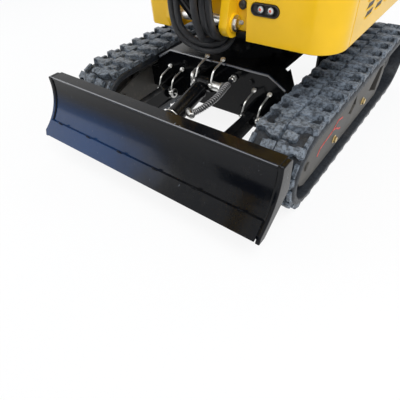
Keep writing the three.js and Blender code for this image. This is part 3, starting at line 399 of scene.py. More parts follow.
@dataclass(frozen=True)
class Rubber(Finish):
    """Rubber with pitted, pale bluish-grey blotches that stand partly for wear and partly for a painted highlight,
    and patches of soil.
    """

    colour: Colour = (0.022, 0.027, 0.034, 1)
    # worn and wear set the pale bluish-grey blotches: partly wear, partly a painted highlight
    worn: Colour = (0.20, 0.235, 0.28, 1)
    wear: float = 1.0
    pits: float = 210.0
    gloss: float = 0.4

    def build(self) -> bpy.types.Material:
        """Makes the material."""
        s = Shader(self.name)
        pit = s.cells(self.pits).between(0.12, 0.34)
        blotch = (s.noise(90.0, 8.0).between(0.38, 0.6) * 0.7 + s.noise(24.0).between(0.35,
                0.65) * 0.3).clamped()
        # the blotches' share: partly wear, partly a painted highlight
        wear_and_highlight = (pit * blotch * self.wear).clamped()
        base = s.mix(wear_and_highlight, self.colour, self.worn)
        soil = s.noise(12.0, 8.0).between(0.56, 0.75) * 0.16
        base = s.mix(soil, base, (0.15, 0.13, 0.105, 1))
        rough = (0.5 - wear_and_highlight * 0.12 + soil * 0.3).clamped()
        return s.surface(pit * 0.6 + s.noise(300.0) * 0.4, 0.0016, Base_Color=base, Roughness=rough,
                         Specular_IOR_Level=self.gloss)


@dataclass(frozen=True)
class HoseCover(Finish):
    """A hydraulic hose's wrapped cover, ribbed along the tube's own length."""

    colour: Colour = (0.009, 0.010, 0.013, 1)

    def build(self) -> bpy.types.Material:
        """Makes the material."""
        s = Shader(self.name)
        lengthways = s.node("ShaderNodeUVMap", {"uv_map": TUBE_UV}).outputs[0]
        wrap = s.value(s.node("ShaderNodeTexWave", {"bands_direction": "DIAGONAL"}, {
            "Vector": lengthways, "Scale": 90.0, "Distortion": 0.6}), "Fac")
        scuff = s.noise(55.0, 6.0).between(0.52, 0.72)
        base = s.mix(scuff * 0.3, self.colour, (0.06, 0.065, 0.075, 1))
        rough = (0.42 + scuff * 0.22 + wrap * 0.06).clamped()
        return s.surface(wrap * 0.7 + s.noise(400.0) * 0.3, 0.0004, Base_Color=base, Roughness=rough)


@dataclass(frozen=True)
class Vinyl(Finish):
    """Grained upholstery vinyl."""

    colour: Colour = (0.02, 0.02, 0.022, 1)

    def build(self) -> bpy.types.Material:
        """Makes the material."""
        s = Shader(self.name)
        grain = s.cells(620.0, "DISTANCE_TO_EDGE").between(0.0, 0.22)
        crease = s.noise(16.0, 5.0)
        base = s.mix(crease.between(0.5, 0.8) * 0.6, self.colour, (0.055, 0.053, 0.052, 1))
        rough = (0.52 - grain * 0.1 + crease * 0.12).clamped()
        return s.surface(grain * 0.6 + crease * 0.4, 0.0006, Base_Color=base, Roughness=rough)


@dataclass(frozen=True)
class Moulding(Finish):
    """Moulded plastic with a fine spark texture; a lens is smooth and clear-coated."""

    colour: Colour = (0.02, 0.02, 0.022, 1)
    roughness: float = 0.45
    texture: float = 900.0
    gloss: float = 0.0

    def build(self) -> bpy.types.Material:
        """Makes the material."""
        s = Shader(self.name)
        spark = s.noise(self.texture, 2.0)
        bloom = s.noise(20.0, 5.0).between(0.5, 0.8) * 0.25
        base = s.mix(bloom, self.colour, tuple(c * 0.8 + 0.03 for c in self.colour[:3]) + (1,))
        rough = (spark * 0.1 + bloom * 0.3 + (self.roughness - 0.05)).clamped()
        return s.surface(spark, 0.0003, Base_Color=base, Roughness=rough, Coat_Weight=self.gloss,
                         Coat_Roughness=0.05)


TUBE_UV = "along"
YELLOW = Paint("yellow_machine_paint", "yellow_paint", (1.0, 0.585, 0.012, 1), (0.10, 0.085, 0.06, 1),
               0.3, 0.2, 0.02, 0.1, 0.25)
BLACK = Paint("gloss_black_paint", "black_paint", (0.003, 0.0035, 0.0045, 1), (0.09, 0.09, 0.09, 1),
              0.18, 0.14, 0.02, 0.15, 0.1)
WORN_BLACK = Paint("scuffed_black_paint", "black_paint", (0.0035, 0.0042, 0.006, 1), (0.15, 0.16, 0.18, 1),
                   0.16, 0.12, 0.02, 0.5, 0.12)
# the blade's black paint, with a painted blue reflection on its lower part (its last value)
BLADE_BLACK = Paint("blade_black_paint", "black_paint", (0.0035, 0.0042, 0.006, 1), (0.2, 0.22, 0.25, 1),
                    0.15, 0.12, 0.02, 0.9, 0.12, 1.0)
# glossy black paint lightened to a bluish grey: the lighter colour is a painted highlight line along edges, and
# the gloss is real
HIGHLIGHT_EDGE = Paint("bright_edge_paint", "black_paint", (0.03, 0.038, 0.055, 1), (0.2, 0.2, 0.2, 1),
             0.14, 0.8, 0.02, 0.5, 0.9)
# the track frames' grey-brown colour is a painted reflection on their dark paint; the dust on it is real
FRAME_PAINT = Paint("side_frame_paint", "frame_paint", (0.062, 0.058, 0.052, 1), (0.16, 0.13, 0.1, 1),
                    0.5, 0.05, 0.3, 0.5, 0.3)
CAST = Casting("black_casting", "cast_black")
DARK_IRON = Casting("dusty_iron", "cast_black", (0.05, 0.046, 0.042, 1), 0.6, 0.6)
WORN_STEEL = Metal("worn_bare_steel", "worn_steel", (0.34, 0.335, 0.33, 1), (0.15, 0.10, 0.07, 1), 0.42, 0.75)
ZINC = Metal("zinc_plate", "zinc_steel", (0.74, 0.74, 0.72, 1), (0.36, 0.35, 0.33, 1), 0.27, 0.35)
BRASS = Metal("yellow_zinc", "zinc_steel", (0.72, 0.56, 0.27, 1), (0.3, 0.22, 0.12, 1), 0.3, 0.4)
CHROME = Metal("hard_chrome", "chrome_rod", (0.8, 0.8, 0.82, 1), (0.5, 0.5, 0.5, 1), 0.1, 0.08)
# the pale blotches on the tread and on the belt are partly wear and partly a painted highlight
TREAD = Rubber("tread_rubber", "track_rubber")
BELT = Rubber("track_belt", "track_rubber", (0.008, 0.010, 0.014, 1), (0.035, 0.042, 0.052, 1), 0.7, 240.0)
GROMMET = Rubber("soft_rubber", "hose_rubber", (0.015, 0.015, 0.017, 1), (0.05, 0.05, 0.055, 1), 0.3, 500.0)
HOSE = HoseCover("hose_cover", "hose_rubber")
VINYL = Vinyl("grained_vinyl", "seat_vinyl")
PLASTIC = Moulding("black_moulding", "dark_plastic")
LENS = Moulding("clear_lens", "lamp_lens", (0.84, 0.86, 0.84, 1), 0.12, 60.0, 1.0)
AMBER = Moulding("amber_lens", "lamp_lens", (0.8, 0.10, 0.03, 1), 0.15, 60.0, 1.0)
RED = Paint("red_line_paint", "frame_paint", (0.8, 0.03, 0.02, 1), (0.1, 0.05, 0.04, 1), 0.4, 0.1, 0.05, 0.3)


# ---- mesh making


def round_section(centre: Vector, along: Vector, across: Vector, radius: float, sides: int) -> list[Vector]:
    """A circle's points round a place on a path that runs along a direction, its radius in millimetres."""
    other = along.cross(across)
    return [centre + (across * math.cos(a) + other * math.sin(a)) * radius * MM for a in turns(sides)]


class Form:
    """A mesh under construction, in the frame's metres."""

    def __init__(self) -> None:
        """Starts empty."""
        self.bm = bmesh.new()
        self.uv = self.bm.loops.layers.uv.new(TUBE_UV)

    def loft(self, rings: Sequence[Sequence[Vector]], closed: bool = False, capped: bool = True) -> "Form":
        """Skins a row of rings that each have the same number of points.

        Args:
            rings: the rings in order.
            closed: joins the last ring to the first.
            capped: closes the two ends.

        Returns:
            This form.
        """
        rows = [[self.bm.verts.new(p) for p in ring] for ring in rings]
        count = len(rows[0])
        pairs = zip(rows, rows[1:] + rows[:1]) if closed else zip(rows, rows[1:])
        for k, (low, high) in enumerate(pairs):
            for i in range(count):
                j = (i + 1) % count
                face = self.bm.faces.new((low[i], low[j], high[j], high[i]))
                for loop, (u, v) in zip(face.loops, ((i, k), (i + 1, k), (i + 1, k + 1), (i, k + 1))):
                    loop[self.uv].uv = (u / count, v * 0.12)
        if capped and not closed:
            self.bm.faces.new(rows[0][::-1])
            self.bm.faces.new(rows[-1])
        return self

    def lathe(self, profile: Sequence[Point], start: Vector, axis: Vector, steps: int = 32) -> "Form":
        """Turns a profile of (distance along the axis, radius), both in millimetres."""
        turn = axis.to_track_quat("Z", "Y").to_matrix()
        rings = []
        for along, radius in profile:
            radius = max(radius, 0.02)
            rings.append([start + turn @ mm(radius * math.cos(a), radius * math.sin(a), along)
                          for a in turns(steps)])
        return self.loft(rings)

    def prism(self, outline: Sequence[Point], x0: float, x1: float) -> "Form":
        """A plate between two places in x, from its outline in y and z."""
        return self.loft([[at(x, y, z) for y, z in outline] for x in (x0, x1)])

    def plan(self, outline: Sequence[Point], z0: float, z1: float) -> "Form":
        """A plate between two heights, from its outline in x and y."""
        return self.loft([[at(x, y, z) for x, y in outline] for z in (z0, z1)])

    def block(self, x0: float, x1: float, y0: float, y1: float, z0: float, z1: float) -> "Form":
        """A block, to be bevelled, by its faces' places."""
        return self.plan([(x0, y0), (x1, y0), (x1, y1), (x0, y1)], z0, z1)

    def tube(self, path: Sequence[Vector], radius: float, sides: int = 12) -> "Form":
        """A round tube of a radius in millimetres along a path, its frame carried without twist."""
        rings = []
        across = None
        for i, point in enumerate(path):
            along = (path[min(i + 1, len(path) - 1)] - path[max(i - 1, 0)]).normalized()
            if across is None:
                across = along.orthogonal().normalized()
            across = (across - along * across.dot(along)).normalized()
            rings.append(round_section(point, along, across, radius, sides))
        return self.loft(rings)

    def hexagon(self, start: Vector, axis: Vector, across: float, height: float) -> "Form":
        """A bolt's head with its washer, domed chamfer and point, of a width across flats."""
        radius = across / math.sqrt(3)
        self.lathe([(0, 0), (0, radius * 1.35), (1.2, radius * 1.4), (2.0, radius * 1.3), (2.0, 0)], start,
                   axis, 16)
        profile = [(1.8, 0), (1.8, radius), (height - 1, radius), (height, radius * 0.82), (height, 0)]
        return self.lathe(profile, start, axis, 6)

    def mesh(self, name: str) -> bpy.types.Mesh:
        """The finished mesh, its faces turned outwards."""
        bmesh.ops.remove_doubles(self.bm, verts=self.bm.verts, dist=2e-6)
        bmesh.ops.recalc_face_normals(self.bm, faces=self.bm.faces)
        mesh = bpy.data.meshes.new(name)
        self.bm.to_mesh(mesh)
        self.bm.free()
        return mesh


def link(name: str, data: bpy.types.ID) -> bpy.types.Object:
    """A new object for a mesh, camera or lamp, in the scene."""
    obj = bpy.data.objects.new(name, data)
    bpy.context.scene.collection.objects.link(obj)
    return obj


def apply_modifiers(obj: bpy.types.Object) -> None:
    """Turns the object's live modifiers into its plain mesh."""
    bpy.context.view_layer.update()
    evaluated = obj.evaluated_get(bpy.context.evaluated_depsgraph_get())
    obj.data = bpy.data.meshes.new_from_object(evaluated)
    obj.modifiers.clear()


def soften(obj: bpy.types.Object, width: float, segments: int = 2, angle: float = 35.0) -> None:
    """Rounds an object's sharp edges by a width in millimetres and evens its shading."""
    if width > 0:
        bevel = obj.modifiers.new("edges", "BEVEL")
        bevel.width = width * MM
        bevel.segments = segments
        bevel.limit_method = "ANGLE"
        bevel.angle_limit = math.radians(angle)
        bevel.use_clamp_overlap = True
        bevel.miter_outer = "MITER_ARC"
    obj.data.shade_smooth()
    even = obj.modifiers.new("shading", "WEIGHTED_NORMAL")
    even.keep_sharp = True
    apply_modifiers(obj)
    obj.data.shade_smooth()
    obj.data.set_sharp_from_angle(angle=math.radians(angle + 8))


def dress(obj: bpy.types.Object, finish: Finish, body: str) -> bpy.types.Object:
    """Gives a finished piece its finish and body, and reports it."""
    obj.data.materials.clear()
    obj.data.materials.append(finish.material())
    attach(obj, body)
    LOG.info("%s rides on %s", obj.name, body)
    return obj


def piece(name: str, form: Form, finish: Finish, body: str, edge: float = 0.0,
          angle: float = 35.0) -> bpy.types.Object:
    """Makes a piece of the machine.

    Args:
        name: the piece's name.
        form: its shape.
        finish: its finish.
        body: the body it moves with.
        edge: how far its sharp edges are rounded, in millimetres.
        angle: the least angle of a sharp edge, in degrees.

    Returns:
        The piece.
    """
    obj = link(name, form.mesh(name))
    soften(obj, edge, 2 if edge > 0.6 else 1, angle)
    return dress(obj, finish, body)


def carve(obj: bpy.types.Object, cutter: Form) -> None:
    """Cuts a shape out of an object."""
    tool = link("cutter", cutter.mesh("cutter"))
    cut = obj.modifiers.new("cut", "BOOLEAN")
    cut.operation, cut.solver, cut.object = "DIFFERENCE", "EXACT", tool
    apply_modifiers(obj)
    bpy.data.objects.remove(tool)


def cleaned(source: bpy.types.Mesh, name: str, only_merged: bool = False) -> bpy.types.Mesh:
    """A copy of a mesh with its doubled points merged and, unless only merged, its flat faces whole."""
    bm = bmesh.new()
    bm.from_mesh(source)
    bmesh.ops.remove_doubles(bm, verts=bm.verts, dist=MERGE)
    if not only_merged:
        bmesh.ops.dissolve_limit(bm, angle_limit=FLAT, verts=bm.verts, edges=bm.edges)
    mesh = bpy.data.meshes.new(name)
    bm.to_mesh(mesh)
    bm.free()
    return mesh


def skin(node: str, finish: Finish, edge: float = 1.5, cutter: Optional[Form] = None) -> bpy.types.Object:
    """Stands a finely edged copy in for a frame node.

    Args:
        node: the node.
        finish: its finish.
        edge: how far its sharp edges are rounded, in millimetres.
        cutter: a shape cut out of the copy first.

    Returns:
        The copy.
    """
    name = f"{node}_skin"
    obj = link(name, cleaned(frame["nodes"][node].data, name, cutter is not None))
    if cutter is not None:
        carve(obj, cutter)
        obj.data = cleaned(obj.data, name)
    soften(obj, edge)
    return dress(stand_in(obj, node), finish, BODY_OF[node])


def stand_in(obj: bpy.types.Object, *nodes: str) -> bpy.types.Object:
    """Hides the frame nodes that a piece shows for, and gives the piece back."""
    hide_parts(*nodes)
    return obj


def flex(name: str, form: Form, finish: Finish, bodies: Sequence[str], start: Vector,
         end: Vector) -> bpy.types.Object:
    """Makes a smooth piece that runs between two bodies, attached to neither.

    Args:
        name: the piece's name.
        form: its shape.
        finish: its finish.
        bodies: the body before start, and the body after end.
        start: not used.
        end: not used.

    Returns:
        The piece.
    """
    obj = link(name, form.mesh(name))
    obj.data.shade_smooth()
    obj.data.materials.append(finish.material())
    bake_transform(obj)
    LOG.info("%s blends from the %s to the %s", name, *bodies)
    return obj


class Repeater:
    """Geometry Nodes that set copies of one small shape at a list of places."""

    INPUTS = (("Shape", "NodeSocketObject"), ("Size", "NodeSocketFloat"), ("Unevenness", "NodeSocketFloat"),
              ("Seed", "NodeSocketInt"), ("Finish", "NodeSocketMaterial"))

    def __init__(self) -> None:
        """Builds the tree."""
        tree = bpy.data.node_groups.new("repeat_at_places", "GeometryNodeTree")
        face = tree.interface
        face.new_socket("Geometry", in_out="INPUT", socket_type="NodeSocketGeometry")
        self.sockets = {name: face.new_socket(name, in_out="INPUT", socket_type=kind).identifier
                        for name, kind in self.INPUTS}
        face.new_socket("Geometry", in_out="OUTPUT", socket_type="NodeSocketGeometry")
        add = tree.nodes.new
        inputs, output = add("NodeGroupInput"), add("NodeGroupOutput")
        shape, copies = add("GeometryNodeObjectInfo"), add("GeometryNodeInstanceOnPoints")
        turn = add("GeometryNodeInputNamedAttribute")
        turn.data_type = "QUATERNION"
        turn.inputs["Name"].default_value = "turn"
        uneven, low, high = add("FunctionNodeRandomValue"), add("ShaderNodeMath"), add("ShaderNodeMath")
        low.operation, high.operation = "SUBTRACT", "ADD"
        realize, paint = add("GeometryNodeRealizeInstances"), add("GeometryNodeSetMaterial")
        join = tree.links.new
        join(inputs.outputs["Shape"], shape.inputs["Object"])
        for node in (low, high):
            join(inputs.outputs["Size"], node.inputs[0])
            join(inputs.outputs["Unevenness"], node.inputs[1])
        join(low.outputs[0], uneven.inputs[2])
        join(high.outputs[0], uneven.inputs[3])
        join(inputs.outputs["Seed"], uneven.inputs["Seed"])
        join(inputs.outputs["Geometry"], copies.inputs["Points"])
        join(shape.outputs["Geometry"], copies.inputs["Instance"])
        join(turn.outputs["Attribute"], copies.inputs["Rotation"])
        join(uneven.outputs[1], copies.inputs["Scale"])
        join(copies.outputs["Instances"], realize.inputs[0])
        join(realize.outputs[0], paint.inputs["Geometry"])
        join(inputs.outputs["Finish"], paint.inputs["Material"])
        join(paint.outputs[0], output.inputs[0])
        self.tree = tree

    def set_out(self, name: str, shape: Form, places: Sequence[tuple[Vector, Matrix]], finish: Finish,
                body: str,
                uneven: float = 0.0, seed: int = 7) -> bpy.types.Object:
        """Sets a shape out at places.

        Args:
            name: the piece's name.
            shape: the small shape, drawn round the frame's own origin.
            places: where each copy goes, and how it is turned.
            finish: its finish.
            body: the body it moves with.
            uneven: how much the copies' sizes differ.
            seed: the seed of that difference.

        Returns:
            One plain piece with all the copies.
        """
        pattern = link(f"{name}_pattern", shape.mesh(name))
        pattern.data.shade_smooth()
        pattern.data.set_sharp_from_angle(angle=SHARP)
        mesh = bpy.data.meshes.new(name)
        mesh.from_pydata([p for p, _ in places], [], [])
        turn = mesh.attributes.new("turn", "QUATERNION", "POINT")
        turn.data.foreach_set("value", [c for _, m in places for c in m.to_quaternion()])
        obj = link(name, mesh)
        modifier = obj.modifiers.new("copies", "NODES")
        modifier.node_group = self.tree
        for key, value in (("Shape", pattern), ("Size", 1.0), ("Unevenness", uneven), ("Seed", seed),
                           ("Finish", finish.material())):
            modifier[self.sockets[key]] = value
        apply_modifiers(obj)
        bpy.data.objects.remove(pattern)
        obj.data.shade_smooth()
        obj.data.set_sharp_from_angle(angle=SHARP)
        return dress(obj, finish, body)


REPEAT = Repeater()
ORIGIN = Vector((0, 0, 0))


def facing(axis: Sequence[float]) -> Matrix:
    """A turn that points a shape's own +Z along an axis."""
    return Vector(axis).to_track_quat("Z", "Y").to_matrix()


def bolts(name: str, places: Iterable[tuple[Vector, Sequence[float]]], finish: Finish, body: str,
          across: float = 17.0, height: float = 9.0) -> bpy.types.Object:
    """Sets hexagon bolt heads at places, each with the way it faces."""
    head = Form().hexagon(ORIGIN, UPWARDS, across, height)
    return REPEAT.set_out(name, head, [(p, facing(axis)) for p, axis in places], finish, body)


def pin(form: Form, x0: float, x1: float, y: float, z: float, radius: float, head: float = 0.0) -> None:
    """Adds a pin along x with chamfered ends, a collar at its +X end and a grease nipple there."""
    length = x1 - x0
    profile = [(0, 0), (0, radius - 2), (2, radius), (length - 3, radius), (length, radius - 3), (length, 0)]
    form.lathe(profile, at(x0, y, z), LEFTWARDS, 28)
    if head:
        form.lathe([(0, 0), (0, head - 2), (2, head), (7, head), (9, head - 2), (9, 0)],
                   at(x1 - 9, y, z), LEFTWARDS, 28)
    form.lathe([(0, 0), (0, 4), (3, 4), (4, 2.6), (7, 3.4), (9, 1.6), (9, 0)], at(x1, y, z), LEFTWARDS, 10)


# ---- studio


@dataclass
class Studio:
    """Camera, lamps, floor and backdrop."""

    eye: Sequence[float] = (738.6, -1242.6, 855.8)
    ahead: Sequence[float] = (-0.46259, 0.53015, -0.71060)
    up: Sequence[float] = (-0.3948, 0.5945, 0.7006)
    lens: float = 31.53

    def build(self) -> None:
        """Sets up the whole studio."""
        self.camera()
        self.world()
        self.lamps()
        self.floor()
        bpy.context.scene.view_settings.view_transform = "Standard"

    def camera(self) -> None:
        """Stands the camera over the front left corner."""
        data = bpy.data.cameras.new("camera")
        data.lens = self.lens
        data.sensor_width = 36.0
        data.clip_start, data.clip_end = 0.05, 60.0
        obj = link("camera", data)
        back = -Vector(self.ahead).normalized()
        right = Vector(self.up).cross(back).normalized()
        up = back.cross(right)
        turn = Matrix((right, up, back)).transposed().to_4x4()
        obj.matrix_world = Matrix.Translation(at(*self.eye)) @ turn
        bpy.context.scene.camera = obj

    def world(self) -> None:
        """A white world to the eye and in reflections, and a softer one as light."""
        world = bpy.data.worlds.new("studio")
        bpy.context.scene.world = world
        s = Shader(world)
        soft = s.node("ShaderNodeBackground", None, {"Color": (0.82, 0.9, 1.0, 1), "Strength": 0.55})
        clear = s.node("ShaderNodeBackground", None, {"Color": (1, 1, 1, 1)})
        mix = s.node("ShaderNodeMixShader", None, {0: s.seen(), 1: soft.outputs[0], 2: clear.outputs[0]})
        s.end(mix, "ShaderNodeOutputWorld")

    def lamps(self) -> None:
        """A large key lamp over the left shoulder, a fill in front and one behind."""
        for name, place, size, power in (("key", (1500, -1300, 2900), 1.6, 62.0),
                                         ("fill", (-2200, -1900, 1500), 2.2, 26.0),
                                         ("back", (-900, 2400, 2600), 2.0, 34.0)):
            data = bpy.data.lights.new(name, "AREA")
            data.size = size
            data.energy = power
            obj = link(name, data)
            obj.location = at(*place)
            aim = at(0, -150, 400) - obj.location
            obj.rotation_euler = aim.to_track_quat("-Z", "Y").to_euler()

    def floor(self) -> None:
        """A pale floor that takes the machine's shadow and reads white elsewhere."""
        form = Form().block(-9000, 9000, -9000, 9000, -30, -0.5)
        obj = link("floor", form.mesh("floor"))
        s = Shader("pale_floor")
        matt = s.node("ShaderNodeBsdfDiffuse", None, {"Color": (0.92, 0.92, 0.92, 1)})
        glow = s.node("ShaderNodeEmission", None, {"Color": (1, 1, 1, 1), "Strength": 1.0})
        mix = s.node("ShaderNodeMixShader", None, {0: s.seen() * 0.88, 1: matt.outputs[0], 2: glow.outputs[0]})
        obj.data.materials.append(s.end(mix))


# ---- tracks


class Side(Enum):
    """The operator's left or right, with the sign of its x."""

    LEFT = 1
    RIGHT = -1

    @property
    def word(self) -> str:
        """The side's name as nodes use it."""
        return self.name.lower()


@dataclass
class Track:
    """One rubber track with its frame, wheels and motor."""

    side: Side
    pitch: float = 72.0
    links: int = 32
    teeth: int = 9
    height: float = 285.0
    tread_depth: float = 20.0
    belt: float = 24.0
    half_width: float = 90.0
    x: float = 390.0
    axle_z: float = 142.5
    frame_face: float = 438.0
    plate_depth: float = 23.0
    motor: Point = (431.0, 414.0)
    motor_bolt_ring: float = 40.0
    horn_x: float = 30.0

    def __post_init__(self) -> None:
        """Works out the loop."""
        self.pitch_radius = self.teeth * self.pitch / (2 * math.pi)
        self.spread = (self.links - self.teeth) * self.pitch / 2
        self.outer = self.height / 2

    def loop(self, travel: float, radius: float) -> tuple[float, float, float]:
        """The loop's y and z, and its outward angle, a distance round the pitch line."""
        bend = math.pi * self.pitch_radius
        s = travel % (2 * (self.spread + bend))
        if s < self.spread:
            return s - self.spread / 2, self.axle_z - radius, -math.pi / 2
        s -= self.spread
        if s < bend:
            angle = -math.pi / 2 + s / self.pitch_radius
            return self.spread / 2 + radius * math.cos(angle), self.axle_z + radius * math.sin(angle), angle
        s -= bend
        if s < self.spread:
            return self.spread / 2 - s, self.axle_z + radius, math.pi / 2
        angle = math.pi / 2 + (s - self.spread) / self.pitch_radius
        return -self.spread / 2 + radius * math.cos(angle), self.axle_z + radius * math.sin(angle), angle

    def place(self, travel: float, radius: float, across: float = 0.0) -> tuple[Vector, Matrix]:
        """A place on the loop, turned so that +Z points outwards and +Y along the loop."""
        y, z, angle = self.loop(travel, radius)
        out = Vector((0, math.cos(angle), math.sin(angle)))
        along = Vector((0, -math.sin(angle), math.cos(angle)))
        turn = Matrix((along.cross(out), along, out)).transposed()
        return at(self.side.value * self.x + across, y, z), turn

    def build(self) -> None:
        """Makes every piece of the track."""
        self.make_belt()
        self.make_tread()
        self.make_horns()
        self.make_frame()
        self.make_wheels()

    def make_belt(self) -> None:
        """The belt: a section with rounded shoulders carried round the loop."""
        inner = self.outer - self.tread_depth - self.belt
        w = self.half_width
        section = [(-w + 4, 0), (w - 4, 0), (w, 5), (w, 15), (w - 3, 21), (w - 9, 24), (7, 24), (3, 21.5),
                   (-3, 21.5), (-7, 24), (-w + 9, 24), (-w + 3, 21), (-w, 15), (-w, 5)]
        steps = self.links * 5
        length = self.links * self.pitch
        rings = []
        for i in range(steps):
            rings.append([at(self.side.value * self.x + x, *self.loop(length * i / steps, inner + r)[:2])
                          for x, r in section])
        name = f"track_belt_{self.side.word}"
        obj = piece(name, Form().loft(rings, closed=True), BELT, "undercarriage")
        stand_in(obj, f"rubber_track_{self.side.word}")

    def block(self, outline: Sequence[Point], foot: float, top: float, draft: float) -> Form:
        """A tread block whose walls lean in by a draft, with a crowned lip."""
        cx = sum(p[0] for p in outline) / len(outline)
        cy = sum(p[1] for p in outline) / len(outline)

        def ring(shrink: float, z: float) -> list[Vector]:
            """The outline drawn in towards its middle, at a height."""
            points = []
            for x, y in outline:
                away = Vector((x - cx, y - cy))
                away *= max(0.0, 1 - shrink / max(away.length, 1))
                points.append(mm(cx + away.x, cy + away.y, z))
            return points
        return Form().loft([ring(-draft, foot), ring(0, top - 2.5), ring(0.9, top - 0.8), ring(3.0, top)])

    def make_tread(self) -> None:
        """Two rows of stepped blocks, half a link apart, with lower bridges between them."""
        radius = self.outer - self.tread_depth
        step = [(3, -23), (28, -23), (36, -14), (56, -14), (62, -20), (83, -20), (85, 4), (75, 12), (66, 5),
                (54, 5), (46, 14), (28, 23), (3, 23)]
        bridge = [(3, -15), (30, -15), (38, -11), (46, -11), (46, 12), (36, 16), (3, 16)]
        rib = [(73, -19), (84, -19), (84, 20), (73, 20)]
        for row, sign in (("outer", 1), ("inner", -1)):
            across = sign * self.side.value
            shift = 0.0 if sign > 0 else 0.5

            def turned(outline: Sequence[Point]) -> list[Point]:
                """The outline on this row's side of the centre line."""
                return [(-across * x, y) for x, y in outline]
            for word, outline, top, offset in (("block", step, self.tread_depth, 0.0),
                                               ("bridge", bridge, 12.0, 0.5), ("rib", rib, 11.0, 0.5)):
                places = [self.place((i + 0.5 + shift + offset) * self.pitch, radius - 1.5)
                          for i in range(self.links)]
                shape = self.block(turned(outline), 0.0, top + 1.3, 2.2 if word == "block" else 1.0)
                REPEAT.set_out(f"tread_{word}_{row}_{self.side.word}", shape, places,
                               TREAD, "undercarriage")

    def make_horns(self) -> None:
        """The steel-cored guide horns inside the belt."""
        horn = Form()
        for x in (-self.horn_x, self.horn_x):
            rings = []
            for lift, half_x, half_y in ((-1.0, 11, 17), (-9.0, 8, 13), (-15.0, 5.5, 9), (-16.0, 4, 7)):
                rings.append([mm(x + i * half_x, j * half_y, lift)
                              for i, j in ((-1, -1), (1, -1), (1, 1), (-1, 1))])
            horn.loft(rings)
        inner = self.outer - self.tread_depth - self.belt
        clear = self.pitch * 1.2
        places = []
        for i in range(self.links):
            travel = (i + 0.5) * self.pitch
            y, z, _ = self.loop(travel, inner)
            if abs(y) < self.spread / 2 - clear and z > self.axle_z:
                places.append(self.place(travel, inner + 1.0))
        REPEAT.set_out(f"guide_horns_{self.side.word}", horn, places, BELT, "undercarriage")

    def make_frame(self) -> None:
        """The side frame with its windows, side plate, bolts, motor hub and red line."""
        sign = self.side.value
        plate = self.frame_face + self.plate_depth
        word, out = self.side.word, (sign, 0, 0)

        def windows() -> Form:
            """The slots through the frame's side."""
            form = Form()
            for outline in ([(-85, 152), (-51, 134), (-18, 158), (-29, 198)],
                            [(133, 140), (238, 94), (262, 192), (212, 199)]):
                form.prism(outline, *span(sign, self.frame_face - 9, plate + 4))
            return form
        skin(f"track_frame_{word}", FRAME_PAINT, 1.2, windows())
        outline = [(-418, 66), (-448, 84), (-466, 112), (-471, 142), (-462, 172), (-440, 196), (-414, 206),
                   (262, 206), (290, 184), (298, 148), (288, 100), (258, 66)]
        form = Form().prism(outline, *span(sign, self.frame_face + 0.4, plate))
        shell = link(f"side_plate_{word}", form.mesh(f"side_plate_{word}"))
        carve(shell, windows())
        soften(shell, 2.4, 3)
        dress(shell, FRAME_PAINT, "undercarriage")
        bolts(f"frame_bolts_{word}",
              [(at(sign * (plate + 0.2), y, z), out) for y, z in ((-192, 110), (70, 127))],
              BRASS, "undercarriage", 19, 10)
        (motor_x, motor_y), reach = self.motor, self.motor_bolt_ring
        bolts(f"motor_bolts_{word}", [
            (at(sign * (motor_x + 1), motor_y + reach * math.cos(a), self.axle_z + reach * math.sin(a)), out)
            for a in turns(8)], ZINC, "undercarriage", 12, 6)
        hub = Form().lathe([(0, 0), (0, 30), (8, 30), (11, 26), (13, 12), (13, 0)],
                           at(sign * motor_x, motor_y, self.axle_z), Vector(out), 32)
        piece(f"motor_hub_{word}", hub, CAST, "undercarriage", 0.5)
        line = Form()
        faces = span(sign, plate - 0.5, plate + 0.7)
        for route in (((-336, 130), (-322, 150), (-286, 156), (-230, 163), (-206, 176), (-188, 184),
                       (-150, 174)),
                      ((-222, 165), (-196, 157), (-166, 138), (-150, 132))):
            for (y0, z0), (y1, z1) in zip(route, route[1:]):
                along = Vector((y1 - y0, z1 - z0)).normalized()
                a, b = along.x * 1.5, along.y * 1.5
                line.prism([(y0 - a + b * 2, z0 - b - a * 2), (y1 + a + b * 2, z1 + b - a * 2),
                            (y1 + a - b * 2, z1 + b + a * 2), (y0 - a - b * 2, z0 - b + a * 2)], *faces)
        piece(f"red_line_{word}", line, RED, "undercarriage")

    def make_wheels(self) -> None:
        """Idler and sprocket, with the idler's hub cap."""
        word, sign = self.side.word, self.side.value
        skin(f"front_idler_{word}", DARK_IRON, 1.0)
        skin(f"drive_sprocket_{word}", WORN_STEEL, 1.0)
        cap = Form().lathe([(0, 0), (0, 15), (3, 15), (5, 12), (5, 0)],
                           at(sign * (self.frame_face + self.plate_depth), -self.spread / 2, self.axle_z),
                           Vector((sign, 0, 0)), 24)
        piece(f"idler_cap_{word}", cap, FRAME_PAINT, "undercarriage", 0.4)


# ---- centre frame and blade


